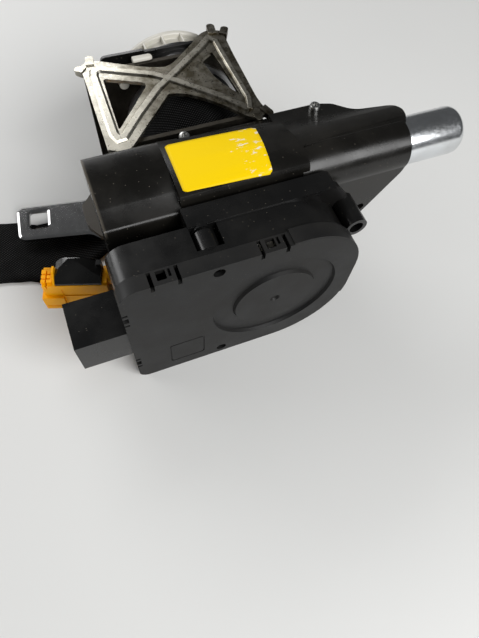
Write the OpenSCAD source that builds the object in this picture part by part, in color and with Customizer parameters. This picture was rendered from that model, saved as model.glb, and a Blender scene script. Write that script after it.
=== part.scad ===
// Seat belt retractor with motor gearbox and rack pretensioner, millimetres, +Z up.
// Origin: centre of the anchor bolt hole on the underside of the base plate.
// X runs along the pretensioner tube, Y along the spool axis away from the gearbox.

/* [Frame] */
// Width of the webbing
web_w = 47; // [44:0.5:50]
// Clear width between the side plates
frame_in_w = 54; // [53:0.5:58]
// Thickness of the side plates and base plate
wall_t = 2.5; // [2:0.1:3]
// Spool axis behind the anchor bolt hole
axis_back = 52.5; // [48:0.5:58]
// Spool axis above the middle of the frame's height
axis_up = 2.25; // [1.5:0.25:3]
// Length of the frame to the left of the spool axis
frame_left = 55.5; // [52:0.5:58]
// Length of the side plates to the right of the spool axis
frame_right = 42; // [39:0.5:44]
// Height of the side plates
side_h = 88; // [80:0.5:96]
// Thickness of the tie plate
tie_t = 2.5; // [2:0.1:3]
// Overhang of the tie plate beyond each side plate
tie_over = 4; // [2:0.5:4]
// Radius of the anchor bolt hole
bolt_hole_r = 5.75; // [5.2:0.05:6.5]
// End radius of the base plate tab
tab_r = 16; // [13:0.5:20]
// Radius of the two tie bars
bar_r = 4; // [3:0.5:5]

/* [Spool] */
// Spool flange beyond the wound webbing
flange_lip = 2.5; // [1.5:0.5:6]
// Radius of the spool core
core_r = 16; // [13:0.5:18]
// Mean room from the spool flanges to the base plate and tie plate
spool_gap = 6.25; // [5:0.25:9]
// Radius of the spool shaft
shaft_r = 6; // [5:0.25:6.5]
// Thickness of the webbing
web_t = 1.2; // [1:0.1:1.4]
// Teeth of the locking ratchet
ratchet_n = 12; // [8:1:14]
// Room for the pawl around the locking ratchet
pawl_room = 20.1; // [19.5:0.1:22]

/* [Far cover] */
// Radius of the spring cover
cover_r = 38; // [37:0.5:38.5]
// Depth of the spring cover
cover_d = 15; // [14:0.5:18]
// Wall of the spring cover and the lock cover
cover_t = 2.2; // [1.6:0.1:2.8]
// Depth of the lock cover
lock_d = 11; // [11:0.5:13]
// Gap between the tie plate and the top plate of the lock cover
lock_gap = 1; // [0.5:0.1:2]
// Number of ribs on the spring cover
rib_n = 20; // [12:1:24]

/* [Pretensioner] */
// Outer radius of the tube
tube_r = 12.6; // [12.2:0.1:13]
// Wall of the tube
tube_t = 1.8; // [1.4:0.1:2]
// Tube axis above the pitch line of the rack
rack_up = 7.3; // [7.1:0.05:7.6]
// Thickness of the adapter plate
adapter_t = 4; // [3:0.1:5]
// Tube axis in front of the adapter plate
tube_in = 34.8; // [33:0.1:36]
// Closed end of the tube, right of the spool axis
tube_end = 126.5; // [118:0.5:134]
// Right end of the plastic housing, right of the spool axis
hous_right = 90.5; // [84:0.5:95]
// Left end of the plastic housing, left of the spool axis
hous_left = 71.5; // [71:0.5:74]
// Depth of the housing in front of the adapter plate
hous_d = 48; // [47.5:0.5:51]
// Wall of the label pad over the rack's bore
pad_t = 2.9; // [2:0.1:3.9]
// Teeth of the drive pinion, two millimetres module
pinion_n = 30; // [30:1:30]
// Width of the drive pinion
pinion_w = 9; // [7:0.5:10]
// Travel of the piston rack
rack_travel = 40; // [20:1:40]
// Length of the label
label_l = 45; // [35:1:60]
// Width of the label
label_w = 35; // [25:1:36]

/* [Gearbox] */
// Height of the gearbox
case_h = 95; // [94:0.5:96]
// Depth of the gearbox
case_d = 25; // [24.5:0.5:27]
// Depth of the gearbox cover
lid_d = 8; // [6:0.5:9]
// Wall of the gearbox
case_t = 2.5; // [2:0.1:2.8]
// Left face of the gearbox, left of the spool axis
case_left = 75.5; // [74.5:0.5:78]
// Radius of the lower right corner of the gearbox
round_low = 40; // [36:0.5:44]
// Radius of the upper right corner of the gearbox
round_top = 36; // [32:0.5:40]
// Overhang of the right end of the gearbox beyond its round middle
case_over = 2; // [1:0.5:4]
// Room between the gearbox and the housing
case_gap = 11; // [10:0.5:13]
// Rounding of the left corners
case_edge_r = 5; // [3:0.5:7]
// Teeth of the clutch gear
clutch_n = 44; // [44:1:44]
// Radius of the motor can
motor_r = 13; // [10:0.5:13.5]
// Length of the connector shroud
shroud_l = 26; // [20:0.5:30]

/* [Belt end] */
// Width of the tongue blade
tongue_w = 24.5; // [20:0.5:28]
// Thickness of the tongue
tongue_t = 3; // [2.5:0.1:3.4]
// Length of the tongue blade
tongue_l = 36; // [30:1:44]
// Turning point of the loose belt, left of the bolt hole
tail_x = 304; // [300:1:330]

/* [Hidden] */
gap = 0.4;
fit = 0.05;
axis_x = -axis_back;
axis_z = (side_h + wall_t) / 2 + axis_up;
flange_r = (side_h - wall_t) / 2 - spool_gap;
roll_r = flange_r - flange_lip;
in_y = frame_in_w / 2;
out_y = in_y + wall_t;
left_x = axis_x - frame_left;
right_x = axis_x + frame_right;
tie_y = out_y + tie_over;
tie_top = side_h + tie_t;
bush_r = 13;
module_p = 2;
module_g = 1.5;
pinion_r = module_p * pinion_n / 2;
rack_pitch = 3.14159265 * module_p;
bore_r = tube_r - tube_t;
rack_r = bore_r - gap;
rack_pitch_z = axis_z + pinion_r;
rack_x0 = axis_x - 63.5;
rack_x1 = axis_x + 12.5;
head_l = 5.5;
hl = axis_x - hous_left;
hr = axis_x + hous_right;
hb = -out_y - adapter_t;
hf = hb - hous_d;
tube_y = hb - tube_in;
tube_z = rack_pitch_z + rack_up;
tube_x0 = axis_x + 26.5;
tube_x1 = axis_x + tube_end;
pad_z = tube_z + bore_r + pad_t;
head_z = tube_z + 7.2;
roof_z = tube_z - bore_r - 1.4;
pad_x0 = axis_x - 35.5;
pad_x1 = axis_x + 31.5;
screw_x = [axis_x - 19, axis_x + 54];
screw_y = hb - 4.6;
hump_r = tube_r + 2;
gb_x = axis_x - case_left;
gb_y = hf - case_gap - case_d;
gb_r = case_h / 2;
gb_z = axis_z - gb_r;
gb_top = gb_z + case_h;
gb_cx = axis_x - 2;
case_end = gb_cx + gb_r + case_over;
boss_at = [[axis_x - 30.5, gb_top - 3], [axis_x + 47.1, tube_z - 5.6], [axis_x + 24.5, gb_z + 8]];
lid_screw_at = [[axis_x - 28.8, gb_top - 5.5], [axis_x - 25.8, gb_z + 5.5]];
pin_z = [axis_z - 11.5, axis_z - 2.5];
lid_y = gb_y + lid_d;
back_y = gb_y + case_d;
train_y = back_y - case_t - 1;
mesh_y = train_y - 4.5;
idler_d = module_g * (clutch_n + 12) / 2;
idler_x = axis_x - idler_d * cos(20);
idler_z = axis_z - idler_d * sin(20);
motor_d = module_g * (28 + 8) / 2;
motor_x = idler_x - motor_d * cos(50);
motor_z = idler_z + motor_d * sin(50);
far_y = out_y;
lock_y = far_y + lock_d;
end_y = lock_y + cover_d;
neck_r = side_h - axis_z - gap;
ratchet_r = neck_r - pawl_room;
ear_x = 30;
ear_z = axis_z - 37;
pawl_x = axis_x + neck_r - 11.1;
pawl_z = axis_z - 8;
lever_x = axis_x + 13;
cup_z = axis_z - neck_r + 4.1;
lever_z = cup_z + 10.7;
ball_z = cup_z + 6.4;
ball_r = 3.4;
gen_z = 38;
gen_y = tube_y;
gen_r = 8;
wheel_turn = 2.5;
small_turn = mesh_turn(clutch_n, 0, 200, 12);
rotor_turn = mesh_turn(28, wheel_turn, 130, 8);
plug_x = hl - 36;
slot_x = left_x - 18;
bar_x = 64 - tail_x;
end_z = 2.6;
tongue_z = 5;
$fn = 48;
function mesh_turn(n1, turn1, dir, n2) = dir + 180 - (0.5 - (dir - turn1) * n1 / 360) * 360 / n2;

// Helpers
// Extrudes an outline drawn in X and Z between two Y values
module along_y(y0, y1) {
    translate([0, y1, 0])
        rotate([90, 0, 0])
            linear_extrude(y1 - y0)
                children();
}

// Extrudes an outline drawn in Y and Z between two X values
module along_x(x0, x1) {
    translate([x0, 0, 0])
        rotate([90, 0, 90])
            linear_extrude(x1 - x0)
                children();
}

module rod_y(x, z, y0, y1, r) {
    translate([x, y1, z])
        rotate([90, 0, 0])
            cylinder(h = y1 - y0, r = r);
}

module rod_x(y, z, x0, x1, r) {
    translate([x0, y, z])
        rotate([0, 90, 0])
            cylinder(h = x1 - x0, r = r);
}

module box(x0, x1, y0, y1, z0, z1) {
    translate([x0, y0, z0])
        cube([x1 - x0, y1 - y0, z1 - z0]);
}

// Straight sided gear outline centred on its axis
module gear_2d(n, m, turn = 0) {
    r = n * m / 2;
    half = 360 / n / 4 * 0.86;
    circle(r = r - 1.2 * m);
    for (i = [0 : n - 1])
        rotate(turn + i * 360 / n)
            polygon([
                [r - 1.4 * m, -(r - 1.2 * m) * sin(half * 1.45)],
                [r + 0.85 * m, -(r + 0.9 * m) * sin(half * 0.5)],
                [r + 0.85 * m, (r + 0.9 * m) * sin(half * 0.5)],
                [r - 1.4 * m, (r - 1.2 * m) * sin(half * 1.45)]]);
}

module gear_y(x, z, y0, y1, n, m, turn = 0) {
    along_y(y0, y1)
        translate([x, z])
            gear_2d(n, m, turn);
}

// Frame
module base_plate() {
    color("silver")
    difference() {
        union() {
            box(left_x, right_x, -out_y, out_y, 0, wall_t);
            linear_extrude(wall_t)
                polygon([[right_x - 1, -out_y], [right_x, -out_y], [0, -tab_r], [0, tab_r],
                    [right_x, out_y], [right_x - 1, out_y]]);
            cylinder(h = wall_t, r = tab_r);
            box(left_x - 5, left_x, -14, -6, 0, wall_t);
            box(left_x - 5, left_x, 6, 14, 0, wall_t);
        }
        translate([0, 0, -1])
            cylinder(h = wall_t + 2, r = bolt_hole_r);
        for (x = [axis_x - 22, axis_x + 22])
            translate([x, 0, -1])
                cylinder(h = wall_t + 2, r = 8);
    }
}

module side_outline() {
    polygon([[left_x, wall_t], [right_x, wall_t], [right_x, axis_z + 8], [right_x - 16, side_h],
        [left_x, side_h]]);
}

module side_holes() {
    translate([axis_x, axis_z])
        circle(r = bush_r);
    translate([left_x + 8, 22])
        circle(r = bar_r + fit);
    translate([right_x - 7, 9])
        circle(r = bar_r + fit);
}

module side_plate(y0) {
    color("silver")
    along_y(y0, y0 + wall_t)
        difference() {
            side_outline();
            side_holes();
        }
}

module side_plate_near() {
    side_plate(-out_y);
}

module side_plate_far() {
    side_plate(in_y);
}

// The X shaped stamped plate over the spool, forks at its corners
module tie_plate() {
    tx = axis_x - 14;
    color("silver") {
        translate([0, 0, side_h])
            linear_extrude(tie_t)
                difference() {
                    polygon([
                        [tx - 43.5, -tie_y + 2], [tx - 42.8, -tie_y + 6], [tx - 42.4, 24], [tx - 45, 28.5],
                        [tx - 44, 33], [tx - 39.5, 31.5], [tx - 38, tie_y + 6], [tx - 33.5, tie_y + 6],
                        [tx - 32.5, tie_y - 0.5], [tx - 6, 20], [tx + 4.5, 19], [tx + 22, tie_y],
                        [tx + 36.2, tie_y + 0.4], [tx + 37, tie_y + 13], [tx + 41.5, tie_y + 13],
                        [tx + 41.3, tie_y + 3], [tx + 45, tie_y + 10], [tx + 48.5, tie_y + 9],
                        [tx + 46, tie_y - 3], [tx + 41.5, 26], [tx + 42.3, -22], [tx + 45.5, -tie_y + 1],
                        [tx + 41, -tie_y + 1], [tx + 39.5, -tie_y - 1], [tx + 33.5, -tie_y],
                        [tx + 19, -17], [tx + 4, -2.5], [tx - 2, -1.5], [tx - 17, -17],
                        [tx - 33, -tie_y], [tx - 38, -tie_y - 1]]);
                    polygon([[tx - 32.5, 19], [tx - 10, 9.5], [tx - 33.5, -20]]);
                    polygon([[tx + 23.5, 18.5], [tx + 32, 24], [tx + 35, -15], [tx + 23.5, -1.5]]);
                }
        along_y(-in_y + gap, in_y - gap)
            polygon([[tx + 38.8, side_h], [tx + 41.6, side_h], [tx + 46, side_h - 11.5],
                [tx + 43.6, side_h - 11.5]]);
    }
}

module tie_bars() {
    color("gainsboro")
    for (p = [[left_x + 8, 22], [right_x - 7, 9]])
        rod_y(p[0], p[1], -out_y, out_y, bar_r);
}

// Plastic mouth that leads the webbing out of the frame
module belt_guide() {
    color("dimgray")
    difference() {
        box(left_x - 4, left_x + 3, -in_y + gap, in_y - gap, wall_t, 19.5);
        box(left_x - 5, left_x + 4, -web_w / 2 - 1, web_w / 2 + 1, 9.3, 15.8);
    }
}

// Spool and shaft
module bush(y0) {
    color("ivory")
    difference() {
        rod_y(axis_x, axis_z, y0, y0 + wall_t, bush_r);
        rod_y(axis_x, axis_z, y0 - 1, y0 + wall_t + 1, shaft_r + fit);
    }
}

module bush_near() {
    bush(-out_y);
}

module bush_far() {
    bush(in_y);
}

module spool_core() {
    e = in_y - 0.5;
    color("lightgray")
    difference() {
        union() {
            rod_y(axis_x, axis_z, -e, e, core_r);
            rod_y(axis_x, axis_z, -e, -web_w / 2 - 0.5, flange_r);
            rod_y(axis_x, axis_z, web_w / 2 + 0.5, e, flange_r);
        }
        rod_y(axis_x, axis_z, -e - 1, e + 1, shaft_r);
    }
}

module spool_shaft() {
    color("darkgray")
    rod_y(axis_x, axis_z, gb_y + 9, end_y - cover_t - 0.6, shaft_r);
}

module webbing_roll() {
    color("#1c1c1e")
    difference() {
        rod_y(axis_x, axis_z, -web_w / 2, web_w / 2, roll_r);
        rod_y(axis_x, axis_z, -web_w / 2 - 1, web_w / 2 + 1, core_r);
    }
}

// Far side: lock, sensor and return spring
module ratchet_wheel() {
    color("gray")
    difference() {
        along_y(far_y + 1.5, far_y + 6.5)
            translate([axis_x, axis_z]) {
                circle(r = ratchet_r - 4);
                for (i = [0 : ratchet_n - 1])
                    rotate(16.5 + i * 360 / ratchet_n)
                        polygon([[ratchet_r - 5, -3.2], [ratchet_r, -0.8], [ratchet_r, 0.8],
                            [ratchet_r - 5, 3.2]]);
            }
        rod_y(axis_x, axis_z, far_y, far_y + 8, shaft_r);
    }
}

module spring_arbor() {
    color("ivory")
    difference() {
        rod_y(axis_x, axis_z, far_y + 7, end_y - cover_t - 0.8, 10);
        rod_y(axis_x, axis_z, far_y + 6, end_y, shaft_r);
    }
}

module return_spring() {
    turns = 6;
    steps = turns * 18;
    r0 = 10.6;
    dr = (cover_r - cover_t - 4 - r0) / steps;
    color("slategray")
    along_y(lock_y + 1, end_y - cover_t - 1)
        translate([axis_x, axis_z])
            polygon(concat(
                [for (i = [0 : steps]) (r0 + dr * i) * [cos(i * 20), sin(i * 20)]],
                [for (i = [steps : -1 : 0]) (r0 + 0.6 + dr * i) * [cos(i * 20), sin(i * 20)]]));
}

module lock_cover() {
    y1 = tie_y + lock_gap;
    color("#1f1f20")
    difference() {
        union() {
            rod_y(axis_x, axis_z, far_y, lock_y, neck_r);
            along_y(y1, y1 + 3)
                polygon([
                    [axis_x - 44, axis_z + 18], [axis_x + 12, axis_z + 18], [axis_x + 12, side_h + 1.6],
                    [axis_x - 18.5, side_h + 1.6], [axis_x - 18.5, side_h + 2.4], [axis_x - 44, side_h + 2.4]]);
            along_y(far_y, lock_y)
                polygon([
                    [axis_x - ear_x - 5, ear_z - 5], [axis_x + ear_x + 5, ear_z - 5],
                    [axis_x + ear_x + 5, ear_z + 5], [axis_x + ear_x - 3, axis_z - 22],
                    [axis_x - ear_x + 3, axis_z - 22], [axis_x - ear_x - 5, ear_z + 5]]);
        }
        rod_y(axis_x, axis_z, far_y - 1, lock_y - cover_t, neck_r - cover_t);
        rod_y(axis_x, axis_z, far_y, lock_y + 1, 12);
        for (p = [-1, 1])
            rod_y(axis_x + p * ear_x, ear_z, far_y - 1, lock_y + 1, 1.8);
    }
}

module spring_cover() {
    color("whitesmoke")
    difference() {
        union() {
            rod_y(axis_x, axis_z, lock_y, end_y, cover_r);
            for (i = [0 : rib_n - 1])
                translate([axis_x, 0, axis_z])
                    rotate([0, i * 360 / rib_n, 0])
                        box(cover_r - 1, cover_r + 1.2, lock_y, end_y - 1.5, -0.8, 0.8);
        }
        rod_y(axis_x, axis_z, lock_y - 1, end_y - cover_t, cover_r - cover_t);
    }
}

module cover_screws() {
    color("silver")
    for (p = [-1, 1]) {
        rod_y(axis_x + p * ear_x, ear_z, far_y, lock_y, 1.75);
        rod_y(axis_x + p * ear_x, ear_z, lock_y, lock_y + 2.4, 3.6);
    }
}

module lock_pawl() {
    color("dimgray")
    difference() {
        union() {
            rod_y(pawl_x, pawl_z, far_y + 1.5, far_y + 6.5, 4.5);
            along_y(far_y + 1.5, far_y + 6.5)
                polygon([[pawl_x - 3.8, pawl_z + 2], [pawl_x + 4, pawl_z + 2], [pawl_x + 2.5, pawl_z + 22],
                    [pawl_x - 2.5, pawl_z + 24], [pawl_x - 6.2, pawl_z + 22], [pawl_x - 3, pawl_z + 17]]);
        }
        rod_y(pawl_x, pawl_z, far_y, far_y + 8, 2.2 + fit);
    }
}

module pawl_pin() {
    color("silver")
    rod_y(pawl_x, pawl_z, far_y, far_y + 7.4, 2.2);
}

// Cup that carries the inertia ball
module sensor_housing() {
    color("#26262a")
    difference() {
        union() {
            box(axis_x - 9.5, axis_x + 9.5, far_y, far_y + 8.1, cup_z, cup_z + 4);
            box(lever_x - 6, lever_x + 2.5, far_y, far_y + 1.2, cup_z + 2.5, lever_z + 3);
        }
        translate([axis_x, far_y + 4.1, ball_z])
            sphere(r = ball_r + gap);
        rod_y(lever_x, lever_z, far_y - 1, far_y + 3, 1.2);
    }
}

module sensor_ball() {
    color("silver")
    translate([axis_x, far_y + 4.1, ball_z])
        sphere(r = ball_r);
}

module lever_pin() {
    color("silver")
    rod_y(lever_x, lever_z, far_y, far_y + 8, 1.2);
}

module sensor_lever() {
    color("ivory")
    difference() {
        union() {
            rod_y(lever_x, lever_z, far_y + 1.6, far_y + 7, 3);
            box(axis_x - 8, lever_x, far_y + 2, far_y + 7, lever_z - 0.2, lever_z + 1.8);
            box(axis_x - 8, axis_x - 5.5, far_y + 2, far_y + 6, lever_z + 1.6, lever_z + 4.2);
        }
        rod_y(lever_x, lever_z, far_y, far_y + 9, 1.2 + fit);
    }
}

// Near side: pretensioner
module adapter_plate() {
    color("gray")
    difference() {
        along_y(hb, -out_y)
            polygon([[left_x + 2, 4], [right_x - 6, 4], [right_x, 40], [right_x - 4, side_h - 6],
                [left_x + 2, side_h - 6]]);
        rod_y(axis_x, axis_z, hb - 1, -out_y + 1, shaft_r + gap);
    }
}

module front_outline() {
    polygon([[hl, 6], [axis_x + 46.5, 6], [hr - 19.4, axis_z - 1.5], [hr, tube_z - 6.8],
        [hr, tube_z + 3.2], [hl, tube_z + 3.2]]);
}

module front_inner() {
    polygon([[hl + 3, 9], [axis_x + 44.5, 9], [hr - 22.5, axis_z - 0.5], [hr - 5.5, roof_z],
        [hl + 3, roof_z]]);
}

module pretensioner_housing() {
    color("#1d1d20")
    difference() {
        union() {
            along_y(hf, hb)
                difference() {
                    front_outline();
                    front_inner();
                }
            along_y(hf, hf + 3)
                front_outline();
            along_x(hl, pad_x0 + 1)
                polygon([[hf, tube_z + 0.2], [hf, tube_z + 6.7], [hf + 7, tube_z + 12.7],
                    [hf + 18, tube_z + 14.6], [hb - 6.5, tube_z + 10.2], [hb, tube_z + 0.2]]);
            along_x(pad_x0, pad_x1)
                polygon([[hf, tube_z + 1.2], [hf, pad_z - 3.5], [hf + 2.5, pad_z - 0.6], [hf + 4, pad_z],
                    [hb - 9, pad_z], [hb - 6, pad_z - 3], [hb, tube_z + 1.2]]);
            rod_x(tube_y, tube_z, pad_x1 - 2, hr, hump_r);
            box(pad_x1 - 1, hr - 31, tube_y + 1, hb - 1, tube_z + 0.2, head_z);
            box(hr - 32, hr - 0.5, tube_y + 2, tube_y + 17, tube_z + 0.7, head_z - 2);
            box(pad_x1 - 3, hr - 1, tube_y + 5.2, tube_y + 7.2, head_z + 1, tube_z + hump_r + 0.6);
        }
        rod_x(tube_y, tube_z, tube_x0 - fit, hr + 1, tube_r + fit);
        rod_x(tube_y, tube_z, hl + 2.5, tube_x0 + 1, bore_r);
        rod_y(axis_x, axis_z, tube_y - pinion_w / 2 - 1.5, tube_y + pinion_w / 2 + 1.5, pinion_r + 3.4);
        rod_y(axis_x, axis_z, hf - 1, hf + 4, shaft_r + gap);
        rod_y(hr - 15.7, axis_z + 4.8, hf - 1, hf + 4, 3.5);
        translate([rack_x0 - 2.8, tube_y, roof_z - 1])
            cylinder(h = 8, r = 2.5);
        rod_x(gen_y, gen_z, hl - 1, hl + 4, gen_r + gap);
        for (x = screw_x)
            translate([x, screw_y, head_z - 12])
                cylinder(h = 30, r = 1.6);
        box(screw_x[0] - 4.5, screw_x[0] + 4.5, screw_y - 4, hb + 1, head_z, head_z + 18);
    }
}

module pretensioner_tube() {
    color("silver")
    difference() {
        union() {
            rod_x(tube_y, tube_z, tube_x0, tube_x1 - 5, tube_r);
            translate([tube_x1 - 5, tube_y, tube_z])
                rotate([0, 90, 0])
                    rotate_extrude()
                        intersection() {
                            union() {
                                square([tube_r - 5, 5]);
                                translate([tube_r - 5, 0])
                                    circle(r = 5);
                            }
                            square([tube_r, 5]);
                        }
        }
        rod_x(tube_y, tube_z, tube_x0 - 1, tube_x1 - 6, bore_r);
    }
}

// Piston with the toothed bar that turns the pinion
module piston_rack() {
    color("darkgray")
    difference() {
        rod_x(tube_y, tube_z, rack_x0, rack_x1, rack_r);
        box(rack_x0 + head_l, rack_x1 + 1, tube_y - 20, tube_y + 20, rack_pitch_z - 18,
            rack_pitch_z - 0.85 * module_p);
        along_y(tube_y - 20, tube_y + 20)
            for (i = [-8 : 2])
                translate([axis_x + i * rack_pitch, rack_pitch_z])
                    polygon([[-2.3, -4], [2.3, -4], [1.95, -1.7], [1.0, 2.4], [-1.0, 2.4], [-1.95, -1.7]]);
    }
}

module drive_pinion() {
    color("silver")
    difference() {
        union() {
            gear_y(axis_x, axis_z, tube_y - pinion_w / 2, tube_y + pinion_w / 2, pinion_n, module_p, 90);
            rod_y(axis_x, axis_z, hf + 3.5, hb - 1, 11);
        }
        rod_y(axis_x, axis_z, hf, hb, shaft_r + fit);
    }
}

module gas_manifold() {
    color("gray")
    difference() {
        box(hl + 3.2, hl + 27, gen_y - 9.9, gen_y + 9.9, gen_z - 12, roof_z);
        rod_x(gen_y, gen_z, hl + 2, hl + 22, gen_r + fit);
        translate([rack_x0 - 2.8, tube_y, gen_z])
            cylinder(h = roof_z, r = 2.5);
    }
}

module gas_generator() {
    color("gold")
    union() {
        rod_x(gen_y, gen_z, hl - 3, hl + 20, gen_r);
    }
}

module housing_screws() {
    color("silver")
    for (x = screw_x)
        translate([x, screw_y, 0]) {
            translate([0, 0, head_z - 12])
                cylinder(h = 13, r = 1.5);
            translate([0, 0, head_z])
                cylinder(h = 2.6, r = 3);
        }
}

module label() {
    color("gold")
    translate([axis_x - 9.5 - label_l / 2, hf + 5, pad_z])
        cube([label_l, label_w, 0.3]);
}

// Gearbox
module case_outline(s) {
    translate([case_end - round_low, gb_z + round_low])
        circle(r = round_low - s);
    translate([case_end - round_top, gb_top - round_top])
        circle(r = round_top - s);
    translate([gb_cx - 1, gb_z + round_low])
        square([case_end - gb_cx + 1 - s, case_h - round_low - round_top]);
    translate([gb_cx - 1, gb_z + s])
        square([case_end - round_low - gb_cx + 1, case_h / 2]);
    translate([gb_cx - 1, gb_top - case_h / 2 - s])
        square([case_end - round_top - gb_cx + 1, case_h / 2]);
    translate([gb_x + case_edge_r, gb_z + s])
        square([gb_cx - gb_x - case_edge_r, case_h - 2 * s]);
    translate([gb_x + s, gb_z + case_edge_r])
        square([case_edge_r + 1, case_h - 2 * case_edge_r]);
    for (z = [gb_z + case_edge_r, gb_top - case_edge_r])
        translate([gb_x + case_edge_r, z])
            circle(r = case_edge_r - s);
}

// The boss beside the tube stops short of the hump around it
module case_bosses() {
    rod_y(boss_at[0][0], boss_at[0][1], lid_y + 3, hf, 5);
    rod_y(boss_at[1][0], boss_at[1][1], lid_y + 3, tube_y - hump_r - gap, 6);
    rod_y(boss_at[2][0], boss_at[2][1], lid_y + 3, hf, 5);
}

module gearbox_case() {
    color("#1b1b1d")
    difference() {
        union() {
            along_y(lid_y, back_y)
                case_outline(0);
            box(gb_x - shroud_l, gb_x + case_t, gb_y + 3.3, gb_y + 29.7, axis_z - 19,
                axis_z + 5.8);
            case_bosses();
            box(boss_at[2][0], boss_at[1][0], lid_y + 6, back_y, tube_z - 14.8, tube_z + 0.2);
            box(axis_x - 47.5, axis_x + 32.5, back_y - 1, back_y + 6, tube_z - 24.8, tube_z + 6.2);
        }
        along_y(lid_y - 1, back_y - case_t)
            case_outline(case_t);
        box(gb_x - shroud_l - 1, gb_x - 2.5, gb_y + 5.5, gb_y + 27.5, axis_z - 16.8, axis_z + 3.6);
        rod_y(axis_x, axis_z, back_y - 5, back_y + 10, shaft_r + gap);
        for (p = boss_at)
            rod_y(p[0], p[1], lid_y + 2, lid_y + 14, 2.4);
        rod_y(idler_x, idler_z, back_y - 3, back_y - 1.5, 2.5);
        for (z = pin_z)
            for (y = [gb_y + 13, gb_y + 20])
                box(gb_x - 3, gb_x + 5, y - 0.5, y + 0.5, z - 0.5, z + 0.5);
    }
}

module gearbox_cover() {
    dx = axis_x + 3;
    color("#2a2a2c")
    difference() {
        union() {
            along_y(gb_y, lid_y)
                case_outline(0);
        }
        along_y(gb_y + case_t, lid_y + 1)
            case_outline(case_t);
        for (r = [33.6, 22.4])
            difference() {
                rod_y(dx, axis_z, gb_y - 1, gb_y + 0.6, r);
                rod_y(dx, axis_z, gb_y - 2, gb_y + 1, r - 1.2);
            }
        box(gb_x - 1, gb_x + 5, gb_y + 3.3, lid_y + 1, axis_z - 19, axis_z + 5.8);
        for (p = lid_screw_at)
            rod_y(p[0], p[1], gb_y - 1, gb_y + 3, 2.6);
        for (x = [axis_x - 53, axis_x - 1.5])
            box(x - 4, x + 4, gb_y + 2.6, lid_y - 1.4, gb_top - 1, gb_top + 1);
    }
}

module gearbox_screws() {
    color("silver")
    for (p = lid_screw_at)
        rod_y(p[0], p[1], gb_y + 0.8, gb_y + 6, 2.55);
}

module clutch_gear() {
    color("ivory")
    difference() {
        union() {
            gear_y(axis_x, axis_z, gb_y + 10, mesh_y - 1, clutch_n, module_g);
            rod_y(axis_x, axis_z, gb_y + 9, train_y, 12);
        }
        rod_y(axis_x, axis_z, gb_y + 8, train_y + 1.5, shaft_r + fit);
    }
}

module idler_gear() {
    color("ivory")
    difference() {
        union() {
            gear_y(idler_x, idler_z, gb_y + 10, mesh_y + 0.5, 12, module_g, small_turn);
            gear_y(idler_x, idler_z, mesh_y, train_y - 1, 28, module_g, wheel_turn);
        }
        rod_y(idler_x, idler_z, gb_y + 9, train_y + 0.5, 2 + fit);
    }
}

module idler_pin() {
    color("silver") {
        rod_y(idler_x, idler_z, gb_y + 8, back_y - 1.5, 2);
        rod_y(idler_x, idler_z, back_y - 2.5, back_y - 1.5, 2.4);
    }
}

module motor_can() {
    color("silver")
    difference() {
        rod_y(motor_x, motor_z, gb_y + 3, mesh_y - 1, motor_r);
        rod_y(motor_x, motor_z, gb_y + 4.5, mesh_y - 2.5, motor_r - 1.2);
        rod_y(motor_x, motor_z, mesh_y - 3, mesh_y, 1.6 + gap);
    }
}

module motor_rotor() {
    color("darkgoldenrod") {
        rod_y(motor_x, motor_z, gb_y + 5.5, mesh_y - 3.5, motor_r - 2.2);
        rod_y(motor_x, motor_z, mesh_y - 4, train_y - 0.5, 1.6);
        gear_y(motor_x, motor_z, mesh_y, train_y - 1, 8, module_g, rotor_turn);
    }
}

module circuit_board() {
    color("darkgreen")
    box(gb_x + 3, gb_x + 36, gb_y + 4, gb_y + 5.6, gb_z + 5, gb_z + 38);
}

module connector_pins() {
    color("gold")
    for (z = pin_z)
        for (y = [gb_y + 13, gb_y + 20])
            box(gb_x - shroud_l + 8, gb_x + 3, y - 0.4, y + 0.4, z - 0.4, z + 0.4);
}

// Plug on the gas generator and its slide lock
module squib_plug() {
    color("gold")
    difference() {
        union() {
            box(plug_x, hl - 8, gen_y - 11, gen_y + 9, gen_z - 11, gen_z + 2);
            box(plug_x + 6, hl - 0.5, gen_y - 9, gen_y + 9, gen_z - 9.5, gen_z + 9);
        }
        rod_x(gen_y, gen_z, hl - 3.2, hl + 1, gen_r + fit);
        box(plug_x + 8, hl - 9, gen_y - 8, gen_y + 10, gen_z + 2, gen_z + 10);
    }
}

module plug_lock() {
    color("#18181a")
    box(plug_x + 8.3, hl - 9.3, gen_y - 7.7, gen_y + 13, gen_z + 2, gen_z + 11);
}

// Loose end of the belt with its tongue and end plate
function tail_path() = [[axis_x - 2, axis_z - roll_r - gap - web_t / 2], [left_x - 5, 12.4],
    [left_x - 8.5, 11.8], [left_x - 11.5, 10.4], [slot_x - 4, 4.2], [slot_x - 9, 1.9], [slot_x - 14, 0.95],
    [slot_x - 22, 0.7], [1 - tail_x, 0.7], [-tail_x - 6, 2.2], [-tail_x - 10, 6], [-tail_x - 10, 11],
    [-tail_x - 6, 14.6], [-tail_x + 2, 15.4], [-tail_x + 16, 12.6], [-tail_x + 34, 8.2], [-tail_x + 50, 6.2],
    [bar_x + 1.2, 5.75], [bar_x + 3, 5.2], [bar_x + 3.8, 3.85], [bar_x + 3, 2.5], [bar_x + 1.2, 1.95],
    [bar_x - 26, 1.95]];
function unit(v) = v / norm(v);
function tail_dir(p, i) = unit(p[min(i + 1, len(p) - 1)] - p[max(i - 1, 0)]);
function tail_side(p, s) = [for (i = [0 : len(p) - 1])
    p[i] + s * web_t / 2 * [-tail_dir(p, i)[1], tail_dir(p, i)[0]]];

module webbing_tail() {
    p = tail_path();
    q = tail_side(p, -1);
    n = len(q) - 1;
    color("#1c1c1e")
    along_y(-web_w / 2, web_w / 2)
        polygon(concat(tail_side(p, 1), [for (i = [0 : n]) q[n - i]]));
}

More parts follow.
